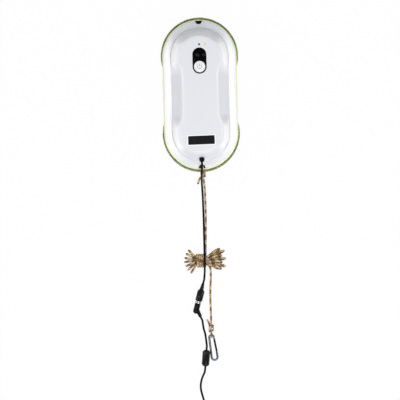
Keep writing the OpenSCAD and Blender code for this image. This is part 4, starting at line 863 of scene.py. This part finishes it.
for end, y, seed in (("upper", pad_y, 3.1), ("lower", -pad_y, 8.7)):
    verts, faces, count = [], [], len(pad_profile)
    for k in range(pad_steps):
        a = 2 * math.pi * k / pad_steps
        out = Vector((math.cos(a), math.sin(a), 0))
        for r, z in pad_profile:
            p = out * r + Vector((0, 0, z))
            wave = noise.noise(Vector((p.x * 0.11, p.y * 0.11, z * 0.12 + seed)))
            lump = noise.noise(Vector((p.x * 0.45, p.y * 0.45, z * 0.5 + seed)))
            tuft_out = abs(noise.noise(Vector((p.x * 1.3, p.y * 1.3, z * 1.3 + seed))))
            edge = eased((r - 70) / 4)
            if r > 73:
                r = min(r + edge * (0.9 * wave + 0.8 * lump + 1.7 * tuft_out), pile_limit)
            z += 0.25 * lump * (1 if z > 0.4 else 0.5) + (0.4 * wave if z > 11 else 0)
            verts.append(Vector((r * out.x, r * out.y + y, max(z, 0.05))) * mm)
    for k in range(pad_steps):
        for j in range(count):
            a, b = k * count, (k + 1) % pad_steps * count
            faces.append((a + j, b + j, b + (j + 1) % count, a + (j + 1) % count))
    pad = piece_from(end + "_microfibre_pad", verts, faces)
    outward(pad)
    bpy.ops.object.shade_smooth()
    pad.data.materials.append(microfibre)
    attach(pad, end + "_pad_disc")
    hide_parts(end + "_pad")

    # Overlock stitches: one thread loop over the hem's edge every 6.3 mm or so
    verts, faces, sides, rings = [], [], 5, 7
    for n in range(stitches_round):
        a0 = 2 * math.pi * (n + 0.3 * noise.noise(Vector((n * 0.7, seed, 0)))) / stitches_round
        faces += tube_faces(rings, sides, len(verts))
        for i in range(rings):
            t = i / (rings - 1)
            turn = mix(-0.9, 1.0, t)
            a = a0 + 1.5 * (t - 0.5) / pad_r
            r = pad_r - 1.35 + 1.65 * math.cos(turn)
            z = (11.4 + 2.0 * math.sin(turn)) if turn > 0 else 11.4 + 3.4 * math.sin(turn)
            for s in range(sides):
                b = 2 * math.pi * s / sides
                out, along = thread_r * math.cos(b), thread_r * math.sin(b)
                q = r + out * math.cos(turn)
                verts.append(Vector((q * math.cos(a) - along * math.sin(a),
                                     y + q * math.sin(a) + along * math.cos(a),
                                     z + out * math.sin(turn))) * mm)
    stitches = piece_from(end + "_pad_overlock", verts, faces)
    outward(stitches)
    bpy.ops.object.shade_smooth()
    stitches.data.materials.append(stitch_thread)
    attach(stitches, end + "_pad_disc")

# Discs and drive
# Inside each pad a ribbed plastic disc turns on its bearing, driven by a geared motor;
# between them the fan draws air through a duct. Little of this shows from outside.

# Natural nylon is a warm grey white, acetal whiter and smoother; ground steel, turned
# brass and the zinc-plated cans differ in colour and in how sharp their reflections are
natural_nylon = grained("natural glass-filled nylon", "#d6d8d9", "#c6c9cb", 900, 0.4, 0.55, 0.00006)
for end in ("upper", "lower"):
    polished(end + "_disc", end + "_ribbed_disc", end + "_pad_disc", natural_nylon, 0.2)
acetal = grained("white acetal", "#e8e8e4", "#dcdcd6", 1200, 0.3, 0.42)
ground_steel = grained("ground bearing steel", "#c4c7ca", "#aeb1b5", 1500, 0.18, 0.3, 0.00002, Metallic=1.0)
machined_brass = grained("machined brass", "#cfa860", "#bd9248", 1500, 0.22, 0.36, 0.00002, Metallic=1.0)
plated_can = grained("zinc-plated motor can", "#a9adb1", "#95999e", 900, 0.3, 0.45, Metallic=1.0)
grey_pp = grained("grey moulded polypropylene", "#7c8083", "#6f7376", 900, 0.42, 0.56, 0.00006)
cell_film = grained("green shrink film", "#2c7a4c", "#246840", 700, 0.2, 0.32)
solder_mask = grained("green solder mask on glass epoxy", "#1d5a34", "#17492a", 1300, 0.25, 0.4, 0.00003)
black_nylon = grained("black moulded nylon", "#09090b", "#0e0e11", 1100, 0.4, 0.55, 0.00006,
                      Specular_IOR_Level=0.2)
for nodes, slot, finish in (
    (("upper_disc_gear", "lower_disc_gear"), "gear_plastic", acetal),
    (("upper_bearing", "lower_bearing"), "bearing_steel", ground_steel),
    (("upper_pinion", "lower_pinion"), "pinion_brass", machined_brass),
    (("upper_drive_motor", "lower_drive_motor", "fan_motor"), "motor_steel", plated_can),
    (("suction_duct", "fan_volute", "battery_holder"), "duct_plastic", grey_pp),
    (("impeller",), "impeller_plastic", acetal),
    (("battery_cells",), "cell_wrap", cell_film),
    (("main_board",), "board_green", solder_mask),
    (("tact_switch",), "switch_black", black_nylon),
):
    for inner_node in nodes:
        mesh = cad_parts[inner_node].data
        mesh.materials.clear()
        mesh.materials.append(finish)

# Window and power button
# A smoked acrylic window is let into the panel. The round white button comes through its
# lower end and carries a grey pad-printed power sign, an open ring with a bar.

# The acrylic is smooth, and its gloss is set far under the usual one, to stay flat black
smoked_acrylic = grained("smoked black acrylic", "#040406", "#060609", 1200, 0.05, 0.09, 0.00001,
                         Specular_IOR_Level=0.04)
polished("dark_window", "acrylic_window", "robot", smoked_acrylic, 0.25)
# Satin ABS is a softer white than the glossy cover, and pad-printing ink is flat grey
button_abs = grained("satin white ABS", "#f3f3f5", "#eeeef1", 900, 0.3, 0.4, 0.00003)
power_cap = polished("power_button", "power_cap", "button", button_abs, 0.35)
# The cap is drawn in towards its middle, to look as small as the real one beside its window
cap_y, cap_share = 52.8, 0.945
for vert in power_cap.data.vertices:
    vert.co.x, vert.co.y = cap_share * vert.co.x, mix(cap_y * mm, vert.co.y, cap_share)
grey_ink = grained("grey pad-printing ink", "#8d9096", "#9a9da3", 1500, 0.5, 0.65, 0.00002)
sign_at = Vector((0, cap_y, 81.02))
sign_r, sign_w, sign_open, sign_parts = 4.0, 0.95, 32, 60
ink_low, ink_high = -0.1, 0.03
verts, faces = [], []
for i in range(sign_parts + 1):
    a = math.radians(90 + sign_open + (360 - 2 * sign_open) * i / sign_parts)
    for r in (sign_r - sign_w / 2, sign_r + sign_w / 2):
        for z in (ink_low, ink_high):
            verts.append((sign_at + Vector((r * math.cos(a), r * math.sin(a), z))) * mm)
for i in range(sign_parts):
    a, b = 4 * i, 4 * i + 4
    faces += [(a + 1, a + 3, b + 3, b + 1), (a, b, b + 2, a + 2),
              (a + 2, b + 2, b + 3, a + 3), (a, a + 1, b + 1, b)]
last = 4 * sign_parts
faces += [(0, 2, 3, 1), (last, last + 1, last + 3, last + 2)]
first = len(verts)
for x, y in ((-1, 0.9), (1, 0.9), (1, 5.0), (-1, 5.0)):
    for z in (ink_low, ink_high):
        verts.append((sign_at + Vector((x * sign_w / 2, y, z))) * mm)
faces += [tuple(first + k for k in face) for face in
          ((1, 3, 5, 7), (6, 4, 2, 0), (0, 2, 3, 1), (2, 4, 5, 3), (4, 6, 7, 5), (6, 0, 1, 7))]
power_sign = piece_from("power_sign", verts, faces)
outward(power_sign)
power_sign.data.materials.append(grey_ink)
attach(power_sign, "button")

# Three status lights sit above the window: two pale lenses and a dark one between them.
# Frosted plastic glows a little with the light that enters it
clear_lens = grained("frosted bluish lens", "#e2eaf6", "#d8e3f2", 900, 0.25, 0.35, 0.00002,
                     Subsurface_Weight=0.2, Subsurface_Scale=0.002)
dark_lens = grained("dark sensor lens", "#08080b", "#0d0d12", 900, 0.1, 0.16, 0.00001)
amber_lens = grained("frosted amber lens", "#efcfae", "#e6c19a", 900, 0.25, 0.35, 0.00002,
                     Subsurface_Weight=0.2, Subsurface_Scale=0.002)
polished("left_status_lens", "left_light", "robot", clear_lens, 0.15)
polished("middle_status_lens", "middle_light", "robot", dark_lens, 0.15)
polished("right_status_lens", "right_light", "robot", amber_lens, 0.15)

# Rope eyes and gland
# A black nylon cup lines the notch at each end, with a steel pin across it for the
# safety rope. The gland is a black moulded strain relief seated in its own pocket.
for end in ("upper", "lower"):
    polished(end + "_eye_insert", end + "_eye_cup", "robot", black_nylon, 0.12)

# Black nickel gives the pins a dark mirror
nickel_pin = grained("black-nickel plated steel", "#2e2f35", "#24252a", 1400, 0.18, 0.3, 0.00002,
                     Metallic=1.0)
for end in ("upper", "lower"):
    polished(end + "_eye_pin", end + "_eye_bar", "robot", nickel_pin, 0.1)

# Moulded PVC is smooth and near black, with its gloss set low to keep it that black
moulded_pvc = grained("glossy moulded PVC", "#060607", "#0a0a0c", 800, 0.12, 0.22, 0.00003,
                      Specular_IOR_Level=0.16)
polished("cable_gland", "lead_gland", "robot", moulded_pvc, 0.3)

# Lead fittings
# A moulded barrel socket with facets on its shoulder, a bright turning ring, an elbow
# plug, a ferrite bead in a split black shell and, at the far end, the mains adapter.
facets, facet_at, facet_out = 8, 13.2, 6.9
# This PVC takes clearer highlights than the gland's, and nickel plate mirrors the room
bright_pvc = grained("semi-gloss moulded PVC", "#060708", "#0b0c0d", 800, 0.14, 0.24, 0.00003,
                     Specular_IOR_Level=0.28)
lead_socket = polished("lead_socket", "barrel_socket", "robot", bright_pvc, 0.25)
for k in range(facets):
    a = math.pi / facets + 2 * math.pi * k / facets
    side = Vector((math.cos(a) * math.cos(socket_angle), -math.cos(a) * math.sin(socket_angle),
                   math.sin(a)))
    bpy.ops.object.select_all(action="DESELECT")
    bpy.ops.mesh.primitive_cube_add(size=1,
                                    location=(socket_tip + facet_at * socket_dir + facet_out * side) * mm)
    flat_cutter = bpy.context.object
    flat_cutter.rotation_mode = "QUATERNION"
    flat_cutter.rotation_quaternion = (side * 0.86 - socket_dir * 0.51).normalized().to_track_quat("Z", "Y")
    flat_cutter.scale = (3.6 * mm, 9 * mm, 2.6 * mm)
    bpy.ops.object.transform_apply(location=True, rotation=True, scale=True)
    cut(lead_socket, flat_cutter)
only(lead_socket)
bpy.ops.object.shade_smooth_by_angle(angle=math.radians(24))
bright_chrome = grained("nickel-plated brass", "#c6c9cc", "#b5b8bc", 1500, 0.1, 0.2, 0.00001, Metallic=1.0)
lock_ring = polished("lock_ring", "turning_ring", "plug_ring", bright_chrome, 0.3)
elbow_plug = polished("elbow_plug", "elbow_plug_body", "robot", moulded_pvc, 0.3)
ferrite_bead = polished("ferrite_bead", "ferrite_shell", "robot", bright_pvc, 0.5)
ferrite_turn = (math.pi / 2, 0, ferrite_angle)
ferrite_side = Vector((math.cos(ferrite_angle), math.sin(ferrite_angle), 0))
split_d, split_l, split_at, split_flat = 15.6, 22, 5, 0.94
core_d, core_l, core_at = 13.6, 23, 4.5
shell_split = cylinder(split_d, split_l, ferrite_top + split_at * ferrite_dir, ferrite_turn)
for vert in shell_split.data.vertices:
    off = (vert.co - ferrite_top * mm).dot(ferrite_side)
    vert.co -= ferrite_side * off * split_flat
cut(ferrite_bead, shell_split)
core = cylinder(core_d, core_l, ferrite_top + core_at * ferrite_dir, ferrite_turn, 64)
cut(ferrite_bead, core, "UNION")
only(ferrite_bead)
bpy.ops.object.shade_smooth_by_angle(angle=math.radians(30))
adapter_boot = polished("adapter_boot", "adapter_strain_relief", "robot", moulded_pvc, 0.2)
# Textured polycarbonate is a matt dark grey
adapter_case = grained("black textured polycarbonate", "#1a1b1d", "#242528", 1000, 0.4, 0.55, 0.00008)
polished("power_adapter", "mains_adapter", "robot", adapter_case, 0.5)

# Hook
# A snap hook bent from bright plated steel wire, with a black sleeved gate that swings
# on a rivet through the tab and closes on the round nose.
# Painted reflection: the nickel-plated wire is coloured dark grey in dark and light patches, for the dark
# reflections it shows; oxide black hardly shines
plated_wire = grained("bright nickel-plated steel wire", "#70737a", "#53565c", 1200, 0.1, 0.2, 0.00001,
                      Metallic=1.0)
hook_body = polished("hook_body", "snap_hook", "robot", plated_wire, 0.1)
hook_rivet = polished("hook_rivet", "gate_rivet", "robot", plated_wire, 0.08)
gate_sleeve = grained("black oxide steel", "#08090b", "#0c0c0f", 1200, 0.25, 0.4, 0.00002,
                      Specular_IOR_Level=0.12)
hook_gate = polished("hook_gate", "sprung_gate", "gate", gate_sleeve, 0.15)


upper_line = respaced(upper_line, rope_step)
hank_line = respaced(hank_line, rope_step)
